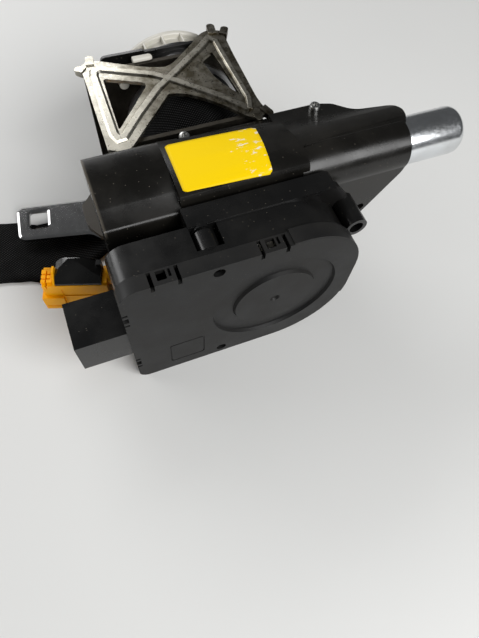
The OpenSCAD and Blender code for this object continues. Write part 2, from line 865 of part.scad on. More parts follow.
module tongue_frame(z) {
    translate([slot_x, 0, tongue_z + z])
        children();
}

// The blade stands a little askew to the slot that the webbing runs through
module tongue_plate() {
    color("silver")
    tongue_frame(0)
        linear_extrude(tongue_t)
            difference() {
                union() {
                    polygon([[11, -29], [11, 29], [-9, 29], [-14, 14], [-14, -11], [-9, -29]]);
                    rotate(-10) {
                        translate([-14 - tongue_l + 5, -tongue_w / 2])
                            square([tongue_l + 3, tongue_w]);
                        translate([-14 - tongue_l, -tongue_w / 2 + 5])
                            square([6, tongue_w - 10]);
                        for (s = [-1, 1])
                            translate([-9 - tongue_l, s * (tongue_w / 2 - 5)])
                                circle(r = 5);
                    }
                }
                translate([-7.5, -26])
                    square([15.5, 52]);
                rotate(-10)
                    translate([-tongue_l - 6, -6.5])
                        square([12.5, 13]);
            }
}

module tongue_cover() {
    color("#1b1b1d")
    tongue_frame(tongue_t)
        linear_extrude(2.2)
            difference() {
                translate([-9.5, -28.4])
                    square([20, 56.8]);
                translate([-7.5, -26])
                    square([15.5, 52]);
            }
}

module end_anchor() {
    color("silver")
    translate([bar_x, 0, end_z])
        difference() {
            union() {
                translate([-1.8, -28, 0])
                    cube([14, 56, 2.5]);
                linear_extrude(2.5)
                    polygon([[12, -28], [12.2, -28], [26, -14], [26, 14], [12.2, 28], [12, 28]]);
                translate([26, 0, 0])
                    cylinder(h = 2.5, r = 14);
            }
            translate([26, 0, -1])
                cylinder(h = 5, r = bolt_hole_r);
            translate([1.2, -24.5, -1])
                cube([6.5, 49, 5]);
        }
}

base_plate();
side_plate_near();
side_plate_far();
tie_plate();
tie_bars();
belt_guide();
bush_near();
bush_far();
spool_core();
spool_shaft();
webbing_roll();
ratchet_wheel();
spring_arbor();
return_spring();
lock_cover();
spring_cover();
cover_screws();
lock_pawl();
pawl_pin();
sensor_housing();
sensor_ball();
sensor_lever();
lever_pin();
adapter_plate();
pretensioner_housing();
pretensioner_tube();
piston_rack();
drive_pinion();
gas_manifold();
gas_generator();
housing_screws();
label();
gearbox_case();
gearbox_cover();
gearbox_screws();
clutch_gear();
idler_gear();
idler_pin();
motor_can();
motor_rotor();
circuit_board();
connector_pins();
squib_plug();
plug_lock();
webbing_tail();
tongue_plate();
tongue_cover();
end_anchor();
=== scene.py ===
import math

import bmesh
import bpy
from mathutils import Matrix, Vector


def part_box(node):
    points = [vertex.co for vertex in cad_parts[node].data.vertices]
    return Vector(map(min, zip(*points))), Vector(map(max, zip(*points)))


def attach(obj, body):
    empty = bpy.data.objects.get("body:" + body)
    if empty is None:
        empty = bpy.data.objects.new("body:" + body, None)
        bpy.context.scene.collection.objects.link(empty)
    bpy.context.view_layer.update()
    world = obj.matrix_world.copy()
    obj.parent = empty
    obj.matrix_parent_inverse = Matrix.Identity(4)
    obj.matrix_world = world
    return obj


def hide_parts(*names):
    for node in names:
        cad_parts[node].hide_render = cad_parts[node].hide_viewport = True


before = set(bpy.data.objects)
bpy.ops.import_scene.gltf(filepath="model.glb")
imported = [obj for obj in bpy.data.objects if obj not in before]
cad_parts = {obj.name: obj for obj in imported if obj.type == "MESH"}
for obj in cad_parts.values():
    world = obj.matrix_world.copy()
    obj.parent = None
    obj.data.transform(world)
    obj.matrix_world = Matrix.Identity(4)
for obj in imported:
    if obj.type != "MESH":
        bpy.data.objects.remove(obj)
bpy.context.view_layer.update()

bl_info = {
    "name": "Seat belt retractor",
    "version": (1, 0, 0),
    "blender": (4, 5, 0),
    "location": "3D View > Sidebar > Retractor",
    "description": "Dresses the packed retractor with its mouldings, steel and webbing",
    "category": "Object",
}

MM = 0.001


# Places in millimetres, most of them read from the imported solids

def span(node):
    """The two corners of a solid's box, to a tenth of a millimetre."""
    return [[round(v / MM, 1) for v in corner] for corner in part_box(node)]


def middle(node, *axes):
    """Where the middle of a solid's box lies along some axes."""
    low, high = span(node)
    return tuple(round((low[i] + high[i]) / 2, 1) for i in axes)


AXIS = middle("spool_shaft", 0, 2)
TUBE = middle("pretensioner_tube", 1, 2)
(HOUSING_LEFT, _, HOUSING_FLOOR), (HOUSING_RIGHT, HOUSING_BACK, _) = span("pretensioner_housing")
HOUSING_FRONT = span("gearbox_case")[1][1]
(LID_LEFT, LID_FRONT, _), (_, LID_BACK, LID_TOP) = span("gearbox_cover")
CASE_BACK = LID_BACK + 17
LID_DISC = (AXIS[0] + 3, AXIS[1] + 0.5)
LID_SCREWS = ((-81.9, 90.2), (-78.5, 5.8))
SOCKET_Z = 38
PAD_LEFT, PAD_RIGHT = -86.8, -20.5
LABEL_AT = (-61.2, -62)
LABEL_SIZE = (46.4, 30.6)
TIE_X = AXIS[0] - 14
TIE_TOP = 90
LOCK_NEAR, LOCK_FAR = (corner[1] for corner in span("lock_cover"))
ROLL_RADIUS = AXIS[0] - span("webbing_roll")[0][0]


def linear(code):
    """Turns an sRGB hex colour into linear red, green, blue and alpha."""
    parts = [int(code[i:i + 2], 16) / 255 for i in (0, 2, 4)]
    return tuple(p / 12.92 if p <= 0.04045 else ((p + 0.055) / 1.055) ** 2.4 for p in parts) + (1.0,)


def colour(name, about, code):
    """A colour that the user can change."""
    return bpy.props.FloatVectorProperty(
        name=name, description=about, subtype="COLOR", size=4, min=0.0, max=1.0, default=linear(code))


def length(name, about, millimetres):
    """A size that the user can change, stored in metres."""
    return bpy.props.FloatProperty(
        name=name, description=about, default=millimetres * MM, min=0.0, precision=5, unit="LENGTH")


class RetractorSizes(bpy.types.PropertyGroup):
    """Sizes of the webbing, the edges, the label and the plug"""
    web_width: length("Webbing width", "Width of the belt", 47)
    web_thickness: length("Webbing thickness", "Thickness of one layer of belt", 1.2)
    web_rib: length("Weave rib", "Spacing of the twill lines one way", 1.45)
    web_yarn: length("Weave yarn", "Spacing of the twill lines the other way", 1.3)
    plastic_edge: length("Plastic edge", "Rounding of the moulded edges", 0.7)
    steel_edge: length("Steel edge", "Rounding of the stamped edges", 0.5)
    rim_height: length("Tie plate rim", "Height of the pressed beads on the tie plate", 0.9)
    tongue_edge: length("Tongue edge", "Rounding of the tongue's rim", 0.7)
    plug_turn: bpy.props.FloatProperty(
        name="Plug turn", description="How far the squib plug is turned in its socket",
        default=math.radians(-17.8), subtype="ANGLE", unit="ROTATION")
    label_thickness: length("Label thickness", "Thickness of the label film", 0.25)


class RetractorColours(bpy.types.PropertyGroup):
    """Base colours of the finishes"""
    housing: colour("Housing", "Glass filled nylon of the pretensioner housing", "12110f")
    gearbox: colour("Gearbox", "Black moulding of the gearbox case", "0e0e0e")
    # a little lighter than the gearbox partly as painted light, standing in for the light falling on the lid's front
    # face
    lid: colour("Gearbox lid", "Dark grey moulding of the gearbox lid", "151515")
    dust: colour("Dust", "Dry dust on the mouldings", "6a645a")
    zinc: colour("Zinc", "Passivated zinc of the stamped frame", "c2beb2")
    # this stain colour is also the painted shade that darkens the tie plate towards its right side
    zinc_stain_and_shade: colour("Zinc stain", "Dirt in the zinc", "4b4537")
    tube: colour("Tube", "Bright zinc of the pretensioner tube", "e0e3e6")
    chrome: colour("Tongue", "Chromium plate of the tongue", "c4c4c4")
    webbing: colour("Webbing", "Black polyester yarn", "030303")
    webbing_light: colour("Webbing sheen", "Yarn that catches the light", "444444")
    white_plastic: colour("White plastic", "Acetal of the spring cover and gears", "cfccc2")
    yellow_plastic: colour("Yellow plastic", "Polyester of the squib plug", "ffb000")
    label: colour("Label", "Yellow label film", "fbd400")
    label_scuff: colour("Label scuff", "Paper that shows where the film is rubbed", "efe9dc")
    aluminium: colour("Aluminium", "Die cast spool and manifold", "a9aaab")
    steel: colour("Steel", "Ground steel of shafts and pins", "b4b4b2")
    table: colour("Table", "Pale laminate under the part", "dfdfdd")


def sizes():
    """The sizes set in this scene."""
    return bpy.context.scene.retractor_sizes


def colours():
    """The colours set in this scene."""
    return bpy.context.scene.retractor_colours


# Shader nodes

def feed(tree, node, inputs):
    """Fills a node's sockets with values, or with links from outputs; a node stands for its first output in use."""
    for socket, source in inputs.items():
        if isinstance(source, bpy.types.Node):
            source = next(output for output in source.outputs if output.enabled)
        if isinstance(source, bpy.types.NodeSocket):
            tree.links.new(source, node.inputs[socket])
        else:
            node.inputs[socket].default_value = source


def add(tree, kind, inputs=None, **settings):
    """Adds one shader node with its settings and what its sockets take in."""
    made = tree.nodes.new("ShaderNode" + kind)
    for key, value in settings.items():
        setattr(made, key, value)
    feed(tree, made, inputs or {})
    return made


def per_metre(millimetres):
    """Noise scale that gives features of about this size."""
    return 1.0 / (millimetres * MM)


def blank(name):
    """The node tree, the shader and the object coordinates of a new material."""
    made = bpy.data.materials.new(name)
    made.use_nodes = True
    tree = made.node_tree
    return tree, tree.nodes["Principled BSDF"], add(tree, "TexCoord").outputs["Object"]


def moulded_plastic(name, base, dust, rough, grain, dusty, specks, gloss=0.5, worn=0.0):
    """Injection moulded plastic with a spark eroded grain: dull, slightly mottled, dry dust in patches and specks."""
    tree, shader, place = blank(name)
    patch = add(tree, "TexNoise", {"Scale": per_metre(24), "Detail": 4.0, "Roughness": 0.6, "Vector": place})
    fine = add(tree, "TexNoise", {"Scale": per_metre(grain), "Detail": 2.0, "Vector": place})
    fleck = add(tree, "TexVoronoi", {"Scale": per_metre(3.0), "Vector": place})
    spot = add(tree, "MapRange", {"From Min": 0.085, "From Max": 0.05, "To Max": specks, "Value": fleck})
    film = add(tree, "MapRange", {"From Min": 0.42, "From Max": 0.75, "To Max": dusty, "Value": patch})
    both = add(tree, "Math", {0: spot, 1: film}, operation="MAXIMUM")
    side = add(tree, "SeparateXYZ", {"Vector": place})
    rubbed, sound = (HOUSING_LEFT + 0.3) * MM, (HOUSING_LEFT + 1.4) * MM
    lip = add(tree, "MapRange", {"From Min": sound, "From Max": rubbed, "To Max": worn, "Value": side.outputs["X"]})
    upper = add(tree, "MapRange", {"From Min": 86 * MM, "From Max": 90 * MM, "Value": side.outputs["Z"]})
    edge = add(tree, "Math", {0: lip, 1: upper}, operation="MULTIPLY")
    ragged = add(tree, "Math", {0: edge, 1: patch}, operation="MULTIPLY")
    either = add(tree, "Math", {0: both, 1: ragged}, operation="MAXIMUM", use_clamp=True)
    mixed = add(tree, "Mix", {"A": base, "B": dust, "Factor": either}, data_type="RGBA")
    dull = add(tree, "MapRange", {"From Min": 0.3, "From Max": 0.7, "To Min": rough - 0.07,
               "To Max": rough + 0.1, "Value": patch})
    bump = add(tree, "Bump", {"Strength": 0.35, "Distance": 0.05 * MM, "Height": fine})
    feed(tree, shader, {"Specular IOR Level": gloss, "Base Color": mixed, "Roughness": dull, "Normal": bump})


def plated_steel(name, bright, stain_and_shade, rough, blotch, dirt, scratch, painted_light_amount=0.0):
    """Plated or bare steel: metallic, cloudy passivation, grey brown dirt in patches, fine scratches; where asked,
    painted shade darkening it towards +X and painted highlights on the bead crowns.
    """
    tree, shader, place = blank(name)
    cloud = add(tree, "TexNoise", {"Scale": per_metre(blotch), "Detail": 5.0, "Roughness": 0.65, "Vector": place})
    grit = add(tree, "TexNoise", {"Scale": per_metre(1.4), "Detail": 3.0, "Vector": place})
    drawn = add(tree, "Mapping", {"Scale": (6.0, 90.0, 90.0), "Vector": place})
    line = add(tree, "TexNoise", {"Scale": 12.0, "Detail": 3.0, "Vector": drawn})
    amount = add(tree, "MapRange", {"From Min": 0.4, "From Max": 0.72, "To Max": dirt, "Value": cloud})
    side = add(tree, "SeparateXYZ", {"Vector": place})
    # painted shade: the colour darkens towards +X, standing in for the darker reflection on the plate's right side
    unshaded_x, shaded_x = (TIE_X - 31.5) * MM, (TIE_X - 7.5) * MM
    painted_shade = add(tree, "MapRange", {"From Min": unshaded_x, "From Max": shaded_x, "To Max": painted_light_amount,
                 "Value": side.outputs["X"]}, interpolation_type="SMOOTHSTEP")
    dirt_and_shade = add(tree, "Math", {0: amount, 1: painted_shade}, operation="ADD")
    # painted highlight: the bead crowns are kept lighter, clear of the painted shade and dirt
    foot, crown = (TIE_TOP + 0.5) * MM, (TIE_TOP + 1.1) * MM
    crown_highlight = add(tree, "MapRange", {"From Min": foot, "From Max": crown, "To Max": 0.75 * painted_light_amount,
                "Value": side.outputs["Z"]})
    total = add(tree, "Math", {0: dirt_and_shade, 1: crown_highlight}, operation="SUBTRACT", use_clamp=True)
    mixed = add(tree, "Mix", {"A": bright, "B": stain_and_shade, "Factor": total}, data_type="RGBA")
    dull = add(tree, "MapRange", {"From Min": 0.3, "From Max": 0.7, "To Min": rough * 0.8,
               "To Max": rough * 1.35, "Value": grit})
    height = add(tree, "Math", {0: grit, 1: line}, operation="ADD")
    bump = add(tree, "Bump", {"Strength": scratch, "Distance": 0.04 * MM, "Height": height})
    feed(tree, shader, {"Metallic": 1.0, "Base Color": mixed, "Roughness": dull, "Normal": bump})


def woven_polyester(name, base, sheen):
    """Seat belt webbing, woven in a twill: matt black with slanting rows of painted highlights on the small yarn
    crowns.
    """
    tree, shader, place = blank(name)
    along = add(tree, "UVMap", uv_map="cloth")
    period = 2 * math.pi / 20
    slant = add(tree, "Mapping", {"Rotation": (0, 0, 0.76), "Vector": along})
    rib = add(tree, "TexWave", {"Scale": period / sizes().web_rib, "Vector": slant}, bands_direction="X")
    yarn = add(tree, "TexWave", {"Scale": period / sizes().web_yarn, "Vector": slant}, bands_direction="Y")
    loose = add(tree, "TexNoise", {"Scale": per_metre(9), "Detail": 3.0, "Vector": place})
    crown = add(tree, "Math", {0: rib.outputs["Fac"], 1: yarn.outputs["Fac"]}, operation="MULTIPLY")
    weave = add(tree, "Math", {1: 1.8, 0: crown}, operation="POWER")
    # how strongly the painted highlights show, varied in patches
    worn = add(tree, "MapRange", {"From Min": 0.3, "From Max": 0.7, "To Min": 0.6, "To Max": 1.3, "Value": loose})
    shine = add(tree, "Math", {0: weave, 1: worn}, operation="MULTIPLY", use_clamp=True)
    # painted highlight: the yarn crowns mixed towards the sheen colour
    mixed = add(tree, "Mix", {"A": base, "B": sheen, "Factor": shine}, data_type="RGBA")
    bump = add(tree, "Bump", {"Strength": 0.9, "Distance": 0.35 * MM, "Height": weave})
    feed(tree, shader, {"Roughness": 0.7, "Specular IOR Level": 0.05, "Base Color": mixed, "Normal": bump})


def label_film(name, base, scuff):
    """Printed polyester label left bare: flat yellow, satin, rubbed through to pale paper in small strokes."""
    tree, shader, place = blank(name)
    slanted = add(tree, "Mapping", {"Rotation": (0, 0, 0.9), "Scale": (1.0, 2.6, 1.0), "Vector": place})
    stroke = add(tree, "TexNoise", {"Scale": per_metre(7), "Detail": 5.0, "Roughness": 0.7, "Vector": slanted})
    side = add(tree, "SeparateXYZ", {"Vector": place})
    start, end = (LABEL_AT[0] - 6.8) * MM, (LABEL_AT[0] + 11.2) * MM
    right = add(tree, "MapRange", {"From Min": start, "From Max": end, "To Min": -0.2, "To Max": 0.06,
                "Value": side.outputs["X"]})
    push = add(tree, "Math", {0: stroke, 1: right}, operation="ADD")
    rubbed = add(tree, "MapRange", {"From Min": 0.635, "From Max": 0.66, "Value": push})
    mixed = add(tree, "Mix", {"A": base, "B": scuff, "Factor": rubbed}, data_type="RGBA")
    dull = add(tree, "MapRange", {"From Min": 0.3, "From Max": 0.7, "To Min": 0.45, "To Max": 0.6, "Value": stroke})
    bump = add(tree, "Bump", {"Strength": 0.1, "Distance": 0.05 * MM, "Height": stroke})
    feed(tree, shader, {"Specular IOR Level": 0.12, "Base Color": mixed, "Roughness": dull, "Normal": bump})


def recipes():
    """How each finish is made: the maker, its two colours and its settings."""
    c = colours()
    return {
        # glass filled nylon: black and satin, a few pale specks, its left lip rubbed grey
        "housing_nylon": (moulded_plastic, c.housing, c.dust,
            dict(rough=0.27, grain=0.6, dusty=0.05, specks=0.8, gloss=0.33, worn=1.2)),
        # plain nylon: a deeper, glossier black than the housing
        "gearbox_nylon": (moulded_plastic, c.gearbox, c.dust,
            dict(rough=0.26, grain=0.6, dusty=0.02, specks=0.7, gloss=0.45)),
        # finely grained nylon: an even, matt dark grey, a little lighter than the case partly as painted light on its
        # front face
        "lid_nylon": (moulded_plastic, c.lid, c.dust, dict(rough=0.5, grain=0.5, dusty=0.04, specks=0.4, gloss=0.28)),
        # nylon moulded round the tongue: brownish grey, dull with handling
        "insert_nylon": (moulded_plastic, linear("4a453d"), c.dust,
            dict(rough=0.45, grain=0.6, dusty=0.3, specks=0.3, gloss=0.3)),
        # coloured polyester: a clean, strong orange yellow
        "plug_polyester": (moulded_plastic, c.yellow_plastic, c.dust,
            dict(rough=0.42, grain=0.8, dusty=0.03, specks=0.1, gloss=0.2)),
        # natural acetal: warm off-white, waxy
        "white_acetal": (moulded_plastic, c.white_plastic, c.dust, dict(rough=0.4, grain=0.8, dusty=0.08, specks=0.1)),
        # glass epoxy board: dark green lacquer, paler in patches
        "board_laminate": (moulded_plastic, linear("1f4a2c"), linear("7d8a5c"),
            dict(rough=0.4, grain=0.5, dusty=0.2, specks=0.2)),
        # zinc plated sheet: dirt in patches, painted shade darkening it towards the right, painted highlights on its
        # ridges
        "zinc_sheet": (plated_steel, c.zinc, c.zinc_stain_and_shade,
            dict(rough=0.31, blotch=7, dirt=0.45, scratch=0.6, painted_light_amount=0.7)),
        # phosphated steel: dark, dull and faintly brown
        "phosphate_steel": (plated_steel, linear("4a463f"), linear("2a2723"),
            dict(rough=0.5, blotch=12, dirt=0.7, scratch=0.4)),
        # bright zinc on a drawn tube: clean and mirror-like
        "bright_zinc_tube": (plated_steel, c.tube, c.steel, dict(rough=0.2, blotch=20, dirt=0.5, scratch=0.12)),
        # chromium plate: smooth, sharp in its reflections, a little tarnished
        "chromium_plate": (plated_steel, c.chrome, c.zinc_stain_and_shade, dict(rough=0.1, blotch=22, dirt=0.3, scratch=0.004)),
        # ground steel: light grey with fine lines
        "ground_steel": (plated_steel, c.steel, c.zinc_stain_and_shade, dict(rough=0.28, blotch=10, dirt=0.3, scratch=0.2)),
        # die cast aluminium: pale grey, matt and cloudy
        "cast_aluminium": (plated_steel, c.aluminium, c.zinc_stain_and_shade, dict(rough=0.45, blotch=8, dirt=0.3, scratch=0.4)),
        # brass: yellow metal, a little brown in patches
        "contact_brass": (plated_steel, linear("c9a24a"), linear("7b6330"),
            dict(rough=0.25, blotch=6, dirt=0.3, scratch=0.1)),
        # blackened screws: nearly black with a soft sheen
        "black_oxide": (plated_steel, linear("2b2b2c"), linear("17140f"),
            dict(rough=0.4, blotch=5, dirt=0.5, scratch=0.2)),
        # tempered spring strip: blue grey
        "spring_steel": (plated_steel, linear("6c7078"), linear("3c3a37"),
            dict(rough=0.3, blotch=9, dirt=0.4, scratch=0.2)),
        "belt_webbing": (woven_polyester, c.webbing, c.webbing_light, {}),
        "polyester_label": (label_film, c.label, c.label_scuff, {}),
    }


def finish(name):
    """The finish of that name, made once."""
    if name not in bpy.data.materials:
        maker, first, second, settings = recipes()[name]
        maker(name, first, second, **settings)
    return bpy.data.materials[name]


# Shapes, drawn in millimetres

def at(axis, u, v, w):
    """The point at u, v across an axis and w along it."""
    return {"X": (w, u, v), "Y": (u, w, v), "Z": (u, v, w)}[axis]


def prism(axis, outline, low, high, rounds=None, steps=5):
    """An outline drawn out along an axis, with some corners rounded first."""
    shape = bmesh.new()
    corners = [shape.verts.new(at(axis, u, v, low)) for u, v in outline]
    shape.faces.new(corners)
    for index, radius in (rounds or {}).items():
        bmesh.ops.bevel(shape, geom=[corners[index]], offset=radius, offset_type="OFFSET", segments=steps,
                        profile=0.5, affect="VERTICES", material=-1)
    grown = bmesh.ops.extrude_face_region(shape, geom=shape.faces[:])["geom"]
    bmesh.ops.translate(shape, verts=[g for g in grown if isinstance(g, bmesh.types.BMVert)],
                        vec=at(axis, 0, 0, high - low))
    bmesh.ops.recalc_face_normals(shape, faces=shape.faces)
    return shape


def rect(u0, u1, v0, v1):
    """The four corners of an oblong."""
    return [(u0, v0), (u1, v0), (u1, v1), (u0, v1)]


def each(radius):
    """The same rounding on all four corners."""
    return dict.fromkeys(range(4), radius)


def block(x0, x1, y0, y1, z0, z1):
    """A box between two corners."""
    return prism("Z", rect(x0, x1, y0, y1), z0, z1)


def turned(axis, u, v, profile, steps=64):
    """A profile of (along, radius) points spun a full turn about an axis."""
    shape = bmesh.new()
    line = [shape.verts.new(at(axis, u + radius, v, along)) for along, radius in profile]
    edges = [shape.edges.new(pair) for pair in zip(line, line[1:])]
    bmesh.ops.spin(shape, geom=line + edges, cent=at(axis, u, v, 0), axis=at(axis, 0, 0, 1), dvec=(0, 0, 0),
                   angle=2 * math.pi, steps=steps, use_merge=True)
    bmesh.ops.remove_doubles(shape, verts=shape.verts, dist=1e-4)
    bmesh.ops.recalc_face_normals(shape, faces=shape.faces)
    return shape


def rod(axis, u, v, low, high, radius, steps=48):
    """A plain round bar along an axis."""
    return turned(axis, u, v, [(low, 0), (low, radius), (high, radius), (high, 0)], steps)


def as_mesh(name, shape):
    """A shape turned into a mesh and freed."""
    mesh = bpy.data.meshes.new(name)
    shape.to_mesh(mesh)
    shape.free()
    return mesh


def placed(name, data):
    """A new object in the scene."""
    made = bpy.data.objects.new(name, data)
    bpy.context.scene.collection.objects.link(made)
    return made


def combine(operation, base, *tools):
    """Closed shapes joined, cut or crossed one after another."""
    carrier, *others = [placed("held", as_mesh("held", shape)) for shape in (base, *tools)]
    for other in others:
        step = carrier.modifiers.new("combine", "BOOLEAN")
        step.operation = operation
        step.solver = "EXACT"
        step.object = other
    result = bmesh.new()
    result.from_object(carrier, bpy.context.evaluated_depsgraph_get())
    for made in [carrier] + others:
        mesh = made.data
        bpy.data.objects.remove(made)
        bpy.data.meshes.remove(mesh)
    bmesh.ops.remove_doubles(result, verts=result.verts, dist=0.01)
    bmesh.ops.dissolve_limit(result, angle_limit=math.radians(0.5), verts=result.verts, edges=result.edges)
    return result


def joined(base, *tools):
    """Shapes made one."""
    return combine("UNION", base, *tools)


def cut(base, *tools):
    """A shape less some others."""
    return combine("DIFFERENCE", base, *tools)


def gathered(*shapes):
    """Separate shapes put in one mesh without joining them."""
    result = bmesh.new()
    for shape in shapes:
        mesh = as_mesh("part", shape)
        result.from_mesh(mesh)
        bpy.data.meshes.remove(mesh)
    return result


def piece(name, shape, material, body="frame", nodes=(), edge=None, steps=2, sharp=32):
    """Turns a shape in millimetres into a finished object on a body."""
    bmesh.ops.scale(shape, vec=(MM, MM, MM), verts=shape.verts)
    mesh = as_mesh(name, shape)
    mesh.materials.append(finish(material))
    mesh.shade_smooth()
    mesh.set_sharp_from_angle(angle=math.radians(sharp))
    made = placed(name, mesh)
    if edge:
        bevel = made.modifiers.new("edge", "BEVEL")
        bevel.width = edge
        bevel.segments = steps
        bevel.limit_method = "ANGLE"
        bevel.angle_limit = math.radians(sharp)
        bevel.harden_normals = True
        bevel.miter_outer = "MITER_ARC"
    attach(made, body)
    if nodes:
        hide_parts(*nodes)
    return made


def cloth_uv(made, measure):
    """Gives a piece a UV map in metres: along the belt and across it."""
    layer = made.data.uv_layers.new(name="cloth")
    for polygon in made.data.polygons:
        for loop in polygon.loop_indices:
            vertex = made.data.vertices[made.data.loops[loop].vertex_index].co
            layer.data[loop].uv = measure(vertex, polygon)


# The stage and the inner parts

class RETRACTOR_OT_stage(bpy.types.Operator):
    """Sets the table, the lamps and the camera"""
    bl_idname = "retractor.stage"
    bl_label = "Stage"

    def execute(self, context):
        # pale laminate, nearly even, with a faint grain that only breaks up the shadows
        tree, shader, place = blank("table_laminate")
        cloud = add(tree, "TexNoise", {"Scale": per_metre(160), "Detail": 4.0, "Vector": place})
        tone = colours().table
        shade = [v * 0.96 for v in tone[:3]] + [1.0]
        mixed = add(tree, "Mix", {"A": tone, "B": shade, "Factor": cloud}, data_type="RGBA")
        feed(tree, shader, {"Roughness": 0.55, "Base Color": mixed})
        shape = bmesh.new()
        bmesh.ops.create_grid(shape, x_segments=2, y_segments=2, size=6.0)
        table = placed("table", as_mesh("table", shape))
        table.data.materials.append(bpy.data.materials["table_laminate"])
        table.location = (0, 0, -0.1 * MM)

        world = bpy.data.worlds.new("studio")
        world.use_nodes = True
        back = world.node_tree.nodes["Background"]
        back.inputs["Color"].default_value = linear("f1f3f5")
        back.inputs["Strength"].default_value = 0.1
        context.scene.world = world
        for name, place, aim, size, power in (
                ("window", (-0.35, 1.25, 0.86), (-0.06, 0.0, 0.09), (1.1, 0.5), 9.5),
                ("room", (0.4, -1.15, 1.0), (-0.06, -0.15, 0.0), (1.1, 0.8), 26.0),
                ("side", (-1.15, 0.75, 0.5), (-0.1, -0.1, 0.05), (0.9, 0.6), 7.0)):
            lamp = bpy.data.lights.new(name, "AREA")
            lamp.shape = "RECTANGLE"
            lamp.size, lamp.size_y = size
            lamp.energy = power
            stand = placed(name, lamp)
            stand.location = place
            stand.rotation_euler = (Vector(aim) - Vector(place)).to_track_quat("-Z", "Y").to_euler()

        lens = bpy.data.cameras.new("camera")
        lens.lens = 28.2146
        lens.sensor_width = 36.0
        lens.clip_start = 0.01
        camera = placed("camera", lens)
        camera.location = (-0.126933, -0.224753, 0.278831)
        camera.rotation_euler = [math.radians(v) for v in (26.4559, -3.5577, -21.3155)]
        context.scene.camera = camera
        context.scene.view_settings.view_transform = "Standard"
        return {"FINISHED"}


class RETRACTOR_OT_inner(bpy.types.Operator):
    """Gives the carried over inner parts their real finishes"""
    bl_idname = "retractor.inner"
    bl_label = "Inner parts"

    def execute(self, context):
        finishes = {
            "zinc_sheet": ("tie_plate",),
            "phosphate_steel": ("base_plate", "side_plate_near", "side_plate_far", "adapter_plate", "end_anchor"),
            "ground_steel": ("tie_bars", "spool_shaft", "ratchet_wheel", "pawl_pin", "lever_pin", "lock_pawl",
                             "drive_pinion", "piston_rack", "sensor_ball", "idler_pin", "cover_screws",
                             "housing_screws", "gearbox_screws", "motor_can"),
            "bright_zinc_tube": ("pretensioner_tube",),
            "chromium_plate": ("tongue_plate",),
            "spring_steel": ("return_spring",),
            "cast_aluminium": ("spool_core", "gas_manifold", "gas_generator"),
            "white_acetal": ("bush_near", "bush_far", "spring_arbor", "spring_cover", "sensor_lever", "clutch_gear",
                             "idler_gear"),
            "gearbox_nylon": ("belt_guide", "sensor_housing", "lock_cover", "gearbox_case", "plug_lock",
                              "tongue_cover"),
            "lid_nylon": ("gearbox_cover",),
            "housing_nylon": ("pretensioner_housing",),
            "plug_polyester": ("squib_plug",),
            "polyester_label": ("label",),
            "board_laminate": ("circuit_board",),
            "contact_brass": ("connector_pins", "motor_rotor"),
            "belt_webbing": ("webbing_roll", "webbing_tail"),
        }
        for name, nodes in finishes.items():
            for node in nodes:
                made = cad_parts[node]
                made.data.materials.clear()
                made.data.materials.append(finish(name))
        return {"FINISHED"}


# The housing, its label pad and the tube

PAD_FLAT = [(2.6, 86), (2.5, 93.5), (2.7, 96.6), (3.3, 97.9), (4.4, 98.5), (12, 98.6), (24, 98.6), (34, 98.5),
            (38.5, 98.3), (42, 95.5), (48, 86)]
PAD_ROUND = [(2.4, 86), (2.4, 93.2), (2.9, 96.2), (4.2, 98), (7, 99.2), (13, 99.6), (22, 98.4), (30, 95.4),
             (37, 93), (42, 91), (48, 86)]


def pad_profile(x):
    """The label pad's section at x, which goes from flat on the left to crowned on the right."""
    t = min(max((x - PAD_LEFT) / (PAD_RIGHT - PAD_LEFT), 0.0), 1.0)
    return [(HOUSING_FRONT + a[0] * (1 - t) + b[0] * t, a[1] * (1 - t) + b[1] * t)
            for a, b in zip(PAD_FLAT, PAD_ROUND)]


def pad_height(x, y):
    """Height of the label pad at a point on it."""
    section = pad_profile(x)
    for low, high in zip(section, section[1:]):
        if low[0] <= y <= high[0] and high[0] > low[0]:
            return low[1] + (high[1] - low[1]) * (y - low[0]) / (high[0] - low[0])
    return section[5][1]


def pad_shape():
    """The raised pad that carries the label."""
    source, target = pad_profile(PAD_LEFT), pad_profile(PAD_RIGHT)
    shape = prism("X", source, PAD_LEFT, PAD_RIGHT)
    for vertex in [v for v in shape.verts if v.co.x > LABEL_AT[0]]:
        index = min(range(len(source)), key=lambda i: math.dist(source[i], vertex.co.yz))
        vertex.co.y, vertex.co.z = target[index]
    return shape


